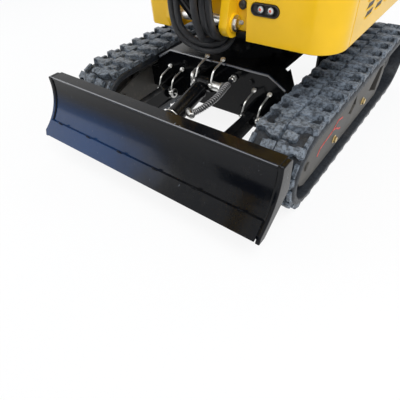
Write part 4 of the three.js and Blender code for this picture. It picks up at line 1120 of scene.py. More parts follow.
@dataclass
class CentreFrame:
    """The frame between the tracks, its lugs, pins and slewing ring."""

    front: float = -235.0
    top: float = 304.0
    arm_x: float = 196.0
    pivot: Point = (-309.0, 168.0)
    cylinder: Point = (-309.0, 250.0)
    bolt_ring: float = 174.0

    def build(self) -> None:
        """Makes every piece of the centre frame."""
        skin("centre_frame", BLACK, 1.6)
        skin("slew_ring", BLACK, 1.2)
        ring = [at(self.bolt_ring * math.cos(a), self.bolt_ring * math.sin(a), self.top + 0.2)
                for a in turns(20)]
        self.flange()
        bolts("slew_ring_bolts", [(p + mm(math.copysign(30, p.x), 0, 0), UPWARDS)
                                  for p in ring if abs(p.x) > 0.12],
              BLACK, "undercarriage", 14, 8)
        bolts("front_plate_bolts", [(at(x, self.front - 0.2, z), (0, -1, 0))
                                    for x, z in ((-150, 262), (150, 262), (-112, 150), (112, 150))], BLACK,
              "undercarriage", 15, 8)
        self.pins()
        self.keepers()

    def flange(self) -> None:
        """A welded lip along the front plate's top edge and down its shoulders, in a lighter bluish paint that
        gives it a painted highlight line.
        """
        lip = Form()
        y = self.front - 3
        lip.tube([at(-282, y, 262), at(-216, y, self.top - 3), at(216, y, self.top - 3), at(282, y, 262)], 4.5,
                 8)
        piece("front_plate_lip", lip, HIGHLIGHT_EDGE, "undercarriage")

    def pins(self) -> None:
        """The pins of the blade's arms and cylinder."""
        form = Form()
        y, z = self.pivot
        for x in (-self.arm_x, self.arm_x):
            pin(form, x - 37.5, x + 41, y, z, PIN_RADIUS, 19)
        y, z = self.cylinder
        pin(form, -44, 77, y, z, PIN_RADIUS, 20)
        piece("blade_pivot_pins", form, ZINC, "undercarriage")

    def keepers(self) -> None:
        """Bent rods that keep the pins, each with a small bolt at its upper end."""
        form = Form()
        ends = []
        spots = [(s * self.arm_x + k * 31, self.pivot) for s in (-1, 1) for k in (-1, 1)]
        spots += [(-34, self.cylinder), (34, self.cylinder)]
        for x, (y, z) in spots:
            top = at(x, self.front - 10, z + 66)
            path = [at(x, y - 12, z + 10), at(x, y - 2, z + 30), at(x, y + 12, z + 50),
                    at(x, self.front - 20, z + 62),
                    top]
            form.tube(smooth_path(path, 5), 3.6, 10)
            form.lathe([(0, 0), (0, 7), (4, 8.5), (9, 7), (12, 3), (12, 0)], at(x, y - 13, z + 4),
                       Vector((0, -0.5, 0.85)), 14)
            ends.append((at(x, self.front - 6, z + 67), (0, -0.6, 0.8)))
        piece("pin_keepers", form, ZINC, "undercarriage")
        bolts("keeper_bolts", ends, ZINC, "undercarriage", 12, 8)


@dataclass
class Blade:
    """The dozer blade: mouldboard, cutting edge, arms, welds and bolts."""

    half: float = 480.0
    foot: Point = (-722.0, 96.0)
    top: Point = (-624.0, 295.0)
    sag: float = 30.0
    plate: float = 14.0
    flange: float = 48.0
    eye: Point = (-592.0, 188.0)
    arm_x: float = 196.0
    bolt_x: Sequence[float] = (-400, -240, -80, 80, 240, 400)

    def curve(self, shift: float, steps: int = 24) -> list[Point]:
        """The mouldboard's face in y and z, moved off it by a shift."""
        y0, z0 = self.foot[0], self.foot[1] + 14
        chord = Vector((self.top[0] - y0, self.top[1] - z0))
        normal = Vector((chord.y, -chord.x)).normalized()
        points = []
        for i in range(steps + 1):
            t = i / steps
            bow = 4 * t * (1 - t) * self.sag + shift
            points.append((y0 + chord.x * t + normal.x * bow, z0 + chord.y * t + normal.y * bow))
        return points

    def build(self) -> None:
        """Makes every piece of the blade."""
        self.make_board()
        skin("blade_cutting_edge", BLADE_BLACK, 0.5)
        for side in Side:
            skin(f"blade_push_arm_{side.word}", BLACK, 2.0)
        self.make_welds()
        bolts("cutting_edge_bolts", [(at(x, *self.curve(-13.5)[6]), (0, -0.93, -0.36))
                                     for x in self.bolt_x], WORN_BLACK, "blade", 15, 2.4)

    def make_board(self) -> None:
        """The mouldboard with a fine curve, its flange, end plates, box beam and cylinder lugs."""
        half, w = self.half, self.plate
        form = Form().prism(self.curve(0) + self.curve(w)[::-1], -half + w - 1, half - w + 1)
        back = self.top[0] + self.flange
        form.prism([(self.top[0] - 1, self.top[1] - 12), (self.top[0] - 1, self.top[1]), (back, self.top[1]),
                    (back, self.top[1] - 12)], -half + w - 1, half - w + 1)
        end = [(self.foot[0] - 4, self.foot[1]), (self.foot[0] + 26, self.foot[1]), (back, self.foot[1] + 90),
               (back, self.top[1] - 14), *arc((back - 14, self.top[1] - 14), 14, 10, 90, 4),
               (self.top[0] - 4, self.top[1]), *self.curve(-5)[-2:0:-1]]
        for x0 in (-half, half - w):
            form.prism(end, x0, x0 + w)
        form.block(-half + 60, half - 60, self.top[0] + 8, back - 6, self.top[1] - 62, self.top[1] - 11)
        y, z = self.eye
        for s in (-1, 1):
            x0 = s * 29 - 5
            form.prism([(y + 20, z - 18), (y + 24, z), (y + 14, z + 22), (self.top[0] + 20, self.top[1] - 50),
                        (self.top[0] + 7, self.top[1] - 50), (self.top[0] - 10, z + 12),
                        (self.top[0] - 38, z - 34)], x0, x0 + 10)
        obj = piece("blade_board", form, BLADE_BLACK, "blade", 2.4)
        stand_in(obj, "blade_mouldboard")

    def make_welds(self) -> None:
        """Weld beads where the board meets its end plates, and round the arms."""
        beads = Form()
        for sign in (-1, 1):
            x = sign * (self.half - self.plate - 1)
            beads.tube([at(x, y, z) for y, z in self.curve(-1.0)[1:]], 3.2, 8)
            beads.tube([at(x, y, z) for y, z in self.curve(self.plate + 1)[2:]], 3.4, 8)
            for offset in (-18, 18):
                beads.tube([at(sign * self.arm_x + offset, y, z)
                            for y, z in self.curve(self.plate + 1.5)[5:14]], 3.6,
                           8)
        beads.tube([at(-self.half + 60, self.top[0] + 9, self.top[1] - 63),
                    at(self.half - 60, self.top[0] + 9, self.top[1] - 63)], 3.2, 8)
        piece("blade_welds", beads, BLACK, "blade")
        # a bead along the board's top front edge in a lighter bluish paint: a painted highlight line
        bead = Form().tube([at(x, self.top[0] + 0.5, self.top[1] - 1.5)
                            for x in (3 - self.half, self.half - 3)], 2.6, 10)
        piece("blade_top_edge", bead, HIGHLIGHT_EDGE, "blade")
        tip = Form()
        pin(tip, -38, 42, *self.eye, PIN_RADIUS, 19)
        piece("blade_cylinder_pin", tip, ZINC, "blade")


@dataclass
class Ram:
    """A hydraulic cylinder: barrel, gland, ports, chromed rod and both eyes."""

    name: str
    tilt: str
    slide: str
    barrel: float
    rod: float
    eye_half: float
    eye: float
    retract: float
    ports: bool = True

    def build(self) -> None:
        """Makes the barrel and the rod about the line that the frame's joints give."""
        barrel_node, rod_node = f"{self.name}_barrel", f"{self.name}_rod"
        start = Vector(JOINTS[self.tilt]["pos_m"])
        axis = Vector(JOINTS[self.slide]["axis"]).normalized()
        reach = max((v.co - start).dot(axis) for v in frame["nodes"][rod_node].data.vertices) / MM - self.eye
        self.make_barrel(barrel_node, start, axis, reach)
        self.make_rod(rod_node, start, axis, reach)

    def eye_rings(self, form: Form, centre: Vector) -> None:
        """An eye with chamfered faces and its bush, about x."""
        h, r = self.eye_half, self.eye
        start = centre - mm(h, 0, 0)
        form.lathe([(0, 15.8), (0, r - 2), (2, r), (2 * h - 2, r), (2 * h, r - 2), (2 * h, 15.8)], start,
                   LEFTWARDS, 36)

    def make_barrel(self, node: str, start: Vector, axis: Vector, reach: float) -> None:
        """The barrel from its eye to its gland, with weld rings and ports."""
        r, end = self.barrel, reach - self.retract - self.eye - 19
        form = Form()
        form.lathe([(self.eye - 4, 0), (self.eye - 4, r * 0.72), (self.eye + 7, r * 0.9), (self.eye + 10, r),
                    (self.eye + 12, r + 1.6), (self.eye + 16, r + 1.6), (self.eye + 18, r), (end - 40, r),
                    (end - 36, r + 2.0), (end - 34, r + 3.6), (end - 4, r + 3.6), (end - 1, r + 1.5),
                    (end, r - 4), (end, 0)], start, axis, 48)
        self.eye_rings(form, start)
        obj = piece(f"{self.name}_tube", form, BLACK, BODY_OF[node])
        stand_in(obj, node)
        gland = Form().lathe([(end - 30, r + 3.4), (end - 30, r + 4), (end - 26, r + 4), (end - 26, r + 3.4)],
                             start, axis, 48)
        gland.lathe([(end - 0.5, 0), (end - 0.5, self.rod + 9), (end + 2.5, self.rod + 8),
                     (end + 4, self.rod + 4), (end + 4, 0)], start, axis, 36)
        piece(f"{self.name}_gland", gland, ZINC, BODY_OF[node])
        if self.ports:
            side = LEFTWARDS.cross(axis).normalized()
            side = side if side.z > 0 else -side
            fittings = Form()
            for along in (self.eye + 34, end - 52):
                foot = start + axis * along * MM + side * (r - 2) * MM
                fittings.lathe([(0, 0), (0, 12), (8, 12), (10, 10), (10, 0)], foot, side, 24)
                fittings.lathe([(9, 0), (9, 9.5), (18, 9.5), (19, 8), (19, 0)], foot, side, 6)
            piece(f"{self.name}_ports", fittings, ZINC, BODY_OF[node])

    def make_rod(self, node: str, start: Vector, axis: Vector, reach: float) -> None:
        """The chromed rod with its forged eye."""
        first = self.eye + 20 + self.retract + 6
        rod = Form().lathe([(first, 0), (first, self.rod), (reach - self.eye - 1, self.rod),
                            (reach - self.eye - 1, 0)],
                           start, axis, 40)
        obj = piece(f"{self.name}_chromed_rod", rod, CHROME, BODY_OF[node])
        stand_in(obj, node)
        head = Form()
        head.lathe([(reach - self.eye - 16, 0), (reach - self.eye - 16, self.rod + 1),
                    (reach - self.eye - 10, self.rod + 4),
                    (reach - 4, self.eye * 0.8), (reach - 4, 0)], start, axis, 32)
        self.eye_rings(head, start + axis * reach * MM)
        piece(f"{self.name}_rod_eye", head, CAST, BODY_OF[node])


def guard_coil(path: Sequence[Vector], radius: float, wire: float, turns: int) -> Form:
    """A spring guard: a wire wound round a hose's path."""
    steps = turns * 10
    coil = []
    across = (path[1] - path[0]).orthogonal().normalized()
    for i in range(steps + 1):
        place = i / steps * (len(path) - 1)
        k = min(int(place), len(path) - 2)
        along = (path[k + 1] - path[k]).normalized()
        across = (across - along * across.dot(along)).normalized()
        other = along.cross(across)
        centre = path[k].lerp(path[k + 1], place - k)
        a = 2 * math.pi * turns * i / steps
        coil.append(centre + (across * math.cos(a) + other * math.sin(a)) * radius * MM)
    return Form().tube(coil, wire, 6)


@dataclass
class BladeHose:
    """The blade cylinder's hose in its spring guard, with the fittings at its ends."""

    guarded: Sequence[Sequence[float]] = ((38, -456, 222), (56, -464, 226), (80, -438, 236), (95, -380, 249),
                                          (93, -318, 259), (82, -252, 262))

    def build(self) -> None:
        """Makes the hose, its guard and its fittings."""
        route = smooth_path([at(*p) for p in self.guarded], 9)
        bend = (("blade_cylinder", "undercarriage"), at(0, -330, 260), at(0, -262, 262))
        stand_in(flex("blade_hose_line", Form().tube(route, 8, 14), HOSE, *bend), "blade_hose")
        flex("blade_hose_guard", guard_coil(route[9:-5], 9.8, 2.1, 24), ZINC_DARK, *bend)
        collars = Form()
        first = (route[6] - route[0]).normalized()
        collars.lathe([(0, 0), (0, 12), (4, 13), (26, 13), (28, 11), (40, 11), (42, 9), (42, 0)], route[0],
                      first, 24)
        collars.lathe([(-12, 0), (-12, 11), (-2, 12), (-2, 0)], route[0], first, 6)
        piece("blade_hose_collar", collars, ZINC, "blade_cylinder")
        elbow = Form()
        elbow.lathe([(0, 0), (0, 13), (9, 13), (9, 0)], at(82, -241, 262), FORWARDS, 6)
        elbow.lathe([(8, 0), (8, 9.5), (22, 10.5), (24, 9), (24, 0)], at(82, -241, 262), FORWARDS, 24)
        path = [at(-88, -248, 250), at(-88, -262, 250), at(-86, -272, 244), at(-84, -276, 230),
                at(-84, -276, 214)]
        elbow.tube(smooth_path(path, 4), 8.5, 14)
        elbow.lathe([(0, 0), (0, 12), (10, 12), (10, 0)], at(-88, -237, 250), FORWARDS, 6)
        elbow.lathe([(0, 0), (0, 11), (12, 11), (12, 0)], at(-84, -276, 216), Vector((0, 0, -1)), 6)
        piece("blade_hose_elbows", elbow, ZINC, "undercarriage")


ZINC_DARK = Metal("dull_spring_steel", "zinc_steel", (0.34, 0.34, 0.35, 1), (0.12, 0.11, 0.10, 1), 0.4, 0.5)


# ---- house


@dataclass
class House:
    """The slewing house's panels, lamps, ears and deck."""

    half: float = 445.0
    front: float = -306.0
    low: float = 426.0
    high: float = 637.7
    corner: float = 85.0
    wall: float = 16.0
    seam: float = 162.0
    ear: Sequence[float] = (90.0, 118.0)
    lamp_z: float = 521.0
    lamps: Sequence[float] = (208.0, 240.0)
    lamp_slot: float = 17.0
    louvre_y: Sequence[float] = (-92, -6, 80)
    louvre_z: Sequence[float] = (486, 508, 530, 552)
    latch: Point = (250.0, 560.0)

    def build(self) -> None:
        """Makes every piece of the house below its floor."""
        self.make_panels()
        self.make_lamps()
        self.make_louvres()
        self.make_ears()
        self.make_recess()
        for node, finish in (("house_deck", BLACK), ("counterweight", CAST), ("engine", CAST)):
            skin(node, finish, 2.5 if node == "counterweight" else 1.2)

    def make_panels(self) -> None:
        """The front panels and side covers, with deep rounded lips."""
        cx, cy = self.half - self.corner, self.front + self.corner
        line = [(self.seam + 3, self.front), *arc((cx, cy), self.corner, -90, 0, 20), (self.half, cy + 9)]
        inner = [(self.half - self.wall, cy + 9), *arc((cx, cy), self.corner - self.wall, 0, -90, 20),
                 (self.seam + 3, self.front + self.wall)]
        form = Form().plan(line + inner, self.low, self.high)
        obj = link("front_panel_shell", form.mesh("front_panel_shell"))
        carve(obj, Form().loft([self.lamp_ring(y, 0.0) for y in (self.front - 5, self.front + self.wall + 5)]))
        soften(obj, 3.0, 3)
        dress(stand_in(obj, "front_panel_left"), YELLOW, "house")
        skin("front_panel_right", YELLOW, 3.0)
        for side in Side:
            skin(f"side_cover_{side.word}", YELLOW, 3.0)

    def lamp_ring(self, y: float, inset: float) -> list[Vector]:
        """The oval round the lamps at a place in y, drawn in by an inset."""
        r = self.lamp_slot - inset
        return [at(x, y, z) for x, z in (*arc((self.lamps[1] + 12, self.lamp_z), r, -90, 90, 14),
                                         *arc((self.lamps[0] - 12, self.lamp_z), r, 90, 270, 14))]

    def make_lamps(self) -> None:
        """Two round lamps in an oval black housing."""
        housing = Form().loft([self.lamp_ring(self.front + y, 0.4) for y in (7, 28)])
        rim = [self.lamp_ring(self.front + y, inset) for y, inset in (
            (8, 0.4), (-1.5, 0.4), (-3.0, 1.6), (-3.0, 2.8), (-1.0, 3.8), (8, 4.2))]
        housing.loft(rim, capped=False)
        obj = piece("lamp_housing", housing, PLASTIC, "house")
        stand_in(obj, "lamp_cluster")
        bezels, lenses, bulbs = Form(), Form(), Form()
        for x in self.lamps:
            start = at(x, self.front + 8, self.lamp_z)
            bezels.lathe([(0, 0), (0, 12.5), (5, 12.5), (6.5, 11.5), (6.5, 10.4), (3, 9.4), (3, 0)], start,
                         FORWARDS)
            lenses.lathe([(2.5, 0), (2.5, 9.2), (4.5, 8.6), (6.2, 6.0), (6.9, 3.0), (7.1, 0)], start, FORWARDS)
            bulbs.lathe([(7.0, 0), (7.0, 4.2), (7.6, 3.6), (8.0, 0)], start, FORWARDS, 20)
        for name, form, finish in (("bezels", bezels, PLASTIC), ("lenses", lenses, LENS),
                                   ("bulbs", bulbs, AMBER)):
            piece(f"lamp_{name}", form, finish, "house")

    def make_recess(self) -> None:
        """The set-back panel beside the ear, with its round cap and screws."""
        skin("recess_panel_left", YELLOW, 1.0)
        y = self.front + 24
        cap = Form().lathe([(-1, 0), (-1, 13), (5, 13), (9, 10), (10, 6), (8, 4), (8, 0)], at(139, y, 520),
                           FORWARDS, 32)
        piece("buzzer_cap", cap, PLASTIC, "house")
        bolts("recess_screws", [(at(x, y - 0.2, z), (0, -1, 0)) for x, z in ((136, 470), (136, 580))], ZINC,
              "house",
              8, 4)

    def make_louvres(self) -> None:
        """Rows of raised louvres on the side covers, each over a black plate that is painted shade for its
        opening, and the covers' latches.
        """
        for side in Side:
            sign = side.value
            hood = Form().loft([[mm(y, -10, -0.5), mm(y, -6, -0.5), mm(y, -6.5, out + 0.3),
                                 mm(y, -8.5, out + 0.1)]
                                for y, out in ((-36, 0.0), (-30, 3.0), (18, 3.0), (24, 0.0))])
            # a thin black plate under each louvre, painted shade where the opening would be; the cover is not cut
            # through
            slot = Form().loft([[mm(x, y, z) for x, y in ((-31, -6), (19, -6), (31, 6), (-19, 6))]
                                for z in (-0.4, 0.5)])
            turn = Matrix(((0, 0, sign), (sign, 0, 0), (0, 1, 0)))
            places = [(at(sign * self.half, y, z), turn) for y in self.louvre_y for z in self.louvre_z]
            REPEAT.set_out(f"louvres_{side.word}", hood, places, YELLOW, "house")
            REPEAT.set_out(f"louvre_slots_{side.word}", slot, places, PLASTIC, "house")
            y, z = self.latch
            latch = Form().lathe([(-1, 0), (-1, 15), (2, 15), (4, 13), (4, 6), (7, 5), (7, 0)],
                                 at(sign * self.half, y, z), Vector((sign, 0, 0)), 32)
            latch.block(*span(sign, self.half + 3, self.half + 9), y - 4, y + 4, z - 12, z + 12)
            piece(f"side_latch_{side.word}", latch, PLASTIC, "house", 0.4)

    def make_ears(self) -> None:
        """The ears with deep edges, their bosses, pins and keeper bolts."""
        skin("boom_ears", YELLOW, 2.4)
        form = Form()
        y, z = joint_place("boom_cylinder_tilt")
        for sign in (-1, 1):
            x = sign * self.ear[1]
            form.lathe([(-1, 0), (-1, 27), (3, 27), (5, 25), (5, 18), (5, 0)], at(x, y, z),
                       Vector((sign, 0, 0)), 40)
        piece("ear_bosses", form, YELLOW, "house")
        pins = Form()
        pin(pins, -122, 122, y, z, 16, 0)
        pin(pins, -131, 133, *joint_place("boom_lift"), 21, 0)
        piece("ear_pins", pins, ZINC, "house")
        bolts("ear_pin_heads", [(at(sign * (self.ear[1] + 6), y, z), (sign, 0, 0)) for sign in (-1, 1)], ZINC,
              "house",
              30, 10)


@dataclass
class BoomHoses:
    """The five hoses that loop under the deck and rise between the ears to the boom."""

    radius: float = 10.5
    top: float = 612.0
    end: float = 448.0
    routes: Sequence[Sequence[Sequence[float]]] = (
        ((-68, -364, 612), (-73, -362, 530), (-73, -360, 484), (-64, -358, 444), (-38, -352, 410),
         (4, -338, 388), (44, -316, 378), (74, -282, 386), (80, -246, 412), (74, -237, 448)),
        ((-46, -364, 612), (-50, -362, 530), (-51, -360, 486), (-44, -357, 452), (-20, -350, 424),
         (14, -336, 406), (46, -314, 400), (64, -284, 402), (60, -250, 420), (52, -237, 448)),
        ((56, -400, 612), (52, -406, 552), (50, -398, 502), (46, -378, 456), (38, -352, 428), (40, -306, 414),
         (38, -256, 422), (32, -237, 448)),
        ((48, -364, 612), (47, -362, 542), (50, -362, 500), (58, -358, 466), (68, -342, 443), (62, -300, 424),
         (48, -254, 430), (44, -237, 448)),
        ((74, -364, 612), (71, -362, 545), (74, -362, 503), (80, -358, 470), (80, -344, 446), (74, -306, 424),
         (68, -256, 428), (66, -237, 448)))

    def build(self) -> None:
        """Makes the hoses, which run from house to boom, and their ends."""
        for number, route in enumerate(self.routes, 1):
            path = smooth_path([at(*p) for p in route], 8)
            obj = flex(f"boom_hose_{number}", Form().tube(path, self.radius, 18), HOSE, ("house", "boom"),
                       at(0, -330, 470), at(0, -330, 600))
            if number == 1:
                stand_in(obj, "boom_hoses")
        self.make_ends()

    def make_ends(self) -> None:
        """Crimped ends at the bulkhead and the clamp plates under the boom."""
        low, plate = Form(), Form()
        for x in (74, 52, 32, 44, 66):
            low.lathe([(-16, 0), (-16, 12), (-14, 12.6), (6, 12.6), (8, 11), (8, 0)], at(x, -237, self.end),
                      UPWARDS, 24)
        plate.block(14, 88, -252, -224, self.end + 4, self.end + 12)
        piece("hose_ends", low, ZINC, "house")
        piece("hose_bulkhead", plate, BLACK, "house", 1.0)
        clamp = Form()
        clamp.block(-84, -30, -379, -349, self.top - 8, self.top + 6)
        clamp.block(34, 85, -379, -349, self.top - 8, self.top + 6)
        clamp.block(40, 72, -414, -386, self.top - 8, self.top + 6)
        piece("hose_clamps", clamp, BLACK, "boom", 1.6)
        bolts("hose_clamp_bolts", [(at(x, y - 0.5, self.top - 1), (0, -1, 0)) for x, y in
                                   ((-56, -379), (61, -379))], ZINC, "boom", 11, 6)


# ---- operator's place


@dataclass
class Cushion:
    """One upholstered pad of the seat, swollen by simulation, with piping and sewn channels."""

    node: str
    cap: float = 14.0
    channels: int = 3
    upright: bool = False
    inset: float = 0.012
    shrink: float = 0.955
    rounding: float = 0.024
    voxel: float = 0.0062
    quick_voxel: float = 0.009
    seam_depth: float = 0.006
    seam_width: float = 0.007
    piping_radius: float = 3.2

    def build(self) -> None:
        """Makes the pad, its piping and its sewn channels."""
        low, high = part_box(self.node)
        obj = link(f"{self.node}_pad", self.start_form(low, high))
        self.swell(obj, low, high)
        obj.data.shade_smooth()
        dress(stand_in(obj, self.node), VINYL, "house")
        self.piping(obj)

    def start_form(self, low: Vector, high: Vector) -> bpy.types.Mesh:
        """The pad before it swells: the frame node's own shape, drawn in a little and rounded."""
        name = f"{self.node}_pad"
        mesh = cleaned(frame["nodes"][self.node].data, name)
        bm = bmesh.new()
        bm.from_mesh(mesh)
        middle = (low + high) / 2
        for v in bm.verts:
            v.co = middle + (v.co - middle) * self.shrink
        bmesh.ops.bevel(bm, geom=bm.edges[:], offset=self.rounding, segments=4, profile=0.6, affect="EDGES")
        bm.to_mesh(mesh)
        bm.free()
        return mesh

    def swell(self, obj: bpy.types.Object, low: Vector, high: Vector) -> None:
        """Remeshes the pad, blows it up under cloth simulation, and holds it in its room."""
        remesh = obj.modifiers.new("even", "REMESH")
        remesh.mode = "VOXEL"
        remesh.voxel_size = self.voxel
        apply_modifiers(obj)
        before = [v.co.copy() for v in obj.data.vertices]
        cloth = obj.modifiers.new("cloth", "CLOTH")
        cloth.settings.use_pressure = True
        cloth.settings.uniform_pressure_force = 4.0
        cloth.settings.effector_weights.gravity = 0.0
        cloth.settings.quality = 5
        scene = bpy.context.scene
        for number in range(1, 21):
            scene.frame_set(number)
        evaluated = obj.evaluated_get(bpy.context.evaluated_depsgraph_get())
        after = [v.co.copy() for v in evaluated.data.vertices]
        obj.modifiers.clear()
        scene.frame_set(1)
        for vertex, old, new in zip(obj.data.vertices, before, after):
            move = new - old
            reach = min(move.length, self.cap * MM)
            vertex.co = old + (move.normalized() * reach if move.length > 1e-9 else move)
        self.sew(obj, low, high)
        for vertex in obj.data.vertices:
            for k in range(3):
                vertex.co[k] = min(max(vertex.co[k], low[k] + MM), high[k] - MM)
        round_off = obj.modifiers.new("round", "SUBSURF")
        round_off.levels = round_off.render_levels = 1
        apply_modifiers(obj)

    def sew(self, obj: bpy.types.Object, low: Vector, high: Vector) -> None:
        """Presses the sewn channels into the face that the operator sits on."""
        width = high.x - low.x
        for vertex in obj.data.vertices:
            co = vertex.co
            faces_out = (vertex.normal.y < -0.35) if self.upright else (vertex.normal.z > 0.35)
            if not faces_out:
                continue
            share = (co.x - low.x) / width * (self.channels + 1)
            dip = math.exp(-((share - round(share)) * width / (self.channels + 1) / self.seam_width) ** 2)
            if 0.5 < share < self.channels + 0.5:
                k = 2 if self.upright else 1
                across = (co[k] - low[k]) / (high[k] - low[k])
                fade = min(1.0, max(0.0, 6 * across - 0.6), max(0.0, 5.4 - 6 * across))
                depth = self.seam_depth * dip * fade
                co.y += depth if self.upright else 0.0
                co.z -= 0.0 if self.upright else depth

    def piping(self, obj: bpy.types.Object) -> None:
        """Lays a corded piping round the pad's front edge, on the pad's own surface."""
        low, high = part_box(self.node)
        side, out = (2, 1) if self.upright else (1, 2)
        look = Vector((0, 1, 0)) if self.upright else -UPWARDS
        start = low[out] if self.upright else high[out]
        corners = []
        for u, v in self.round_ring(low.x + self.inset, high.x - self.inset, low[side] + self.inset,
                                    high[side] - self.inset):
            place = Vector((u, 0, 0))
            place[side], place[out] = v, start
            hit, spot, normal, _ = obj.ray_cast(place - look * 0.2, look)
            corners.append(spot + normal * 0.001 if hit else place + look * 0.02)
        form = Form()
        rings = []
        for i, point in enumerate(corners):
            along = (corners[(i + 1) % len(corners)] - corners[i - 1]).normalized()
            across = along.cross(Vector((0, 1, 0)) if self.upright else UPWARDS).normalized()
            rings.append(round_section(point, along, across, self.piping_radius, 8))
        form.loft(rings, closed=True)
        piece(f"{self.node}_piping", form, GROMMET, "house")

    def round_ring(self, u0: float, u1: float, v0: float, v1: float, radius: float = 0.03) -> list[Point]:
        """Points of a rounded rectangle, evenly enough for piping."""
        corners = ((u1 - radius, v0 + radius, -90), (u1 - radius, v1 - radius, 0),
                   (u0 + radius, v1 - radius, 90), (u0 + radius, v0 + radius, 180))
        ring = []
        for k, (u, v, start) in enumerate(corners):
            ring += arc((u, v), radius, start, start + 90, 8)
            nu, nv, turn = corners[(k + 1) % 4]
            goal = arc((nu, nv), radius, turn, turn, 1)[0]
            last = ring[-1]
            ring += [(last[0] + (goal[0] - last[0]) * t / 10, last[1] + (goal[1] - last[1]) * t / 10)
                     for t in range(1, 10)]
        return ring


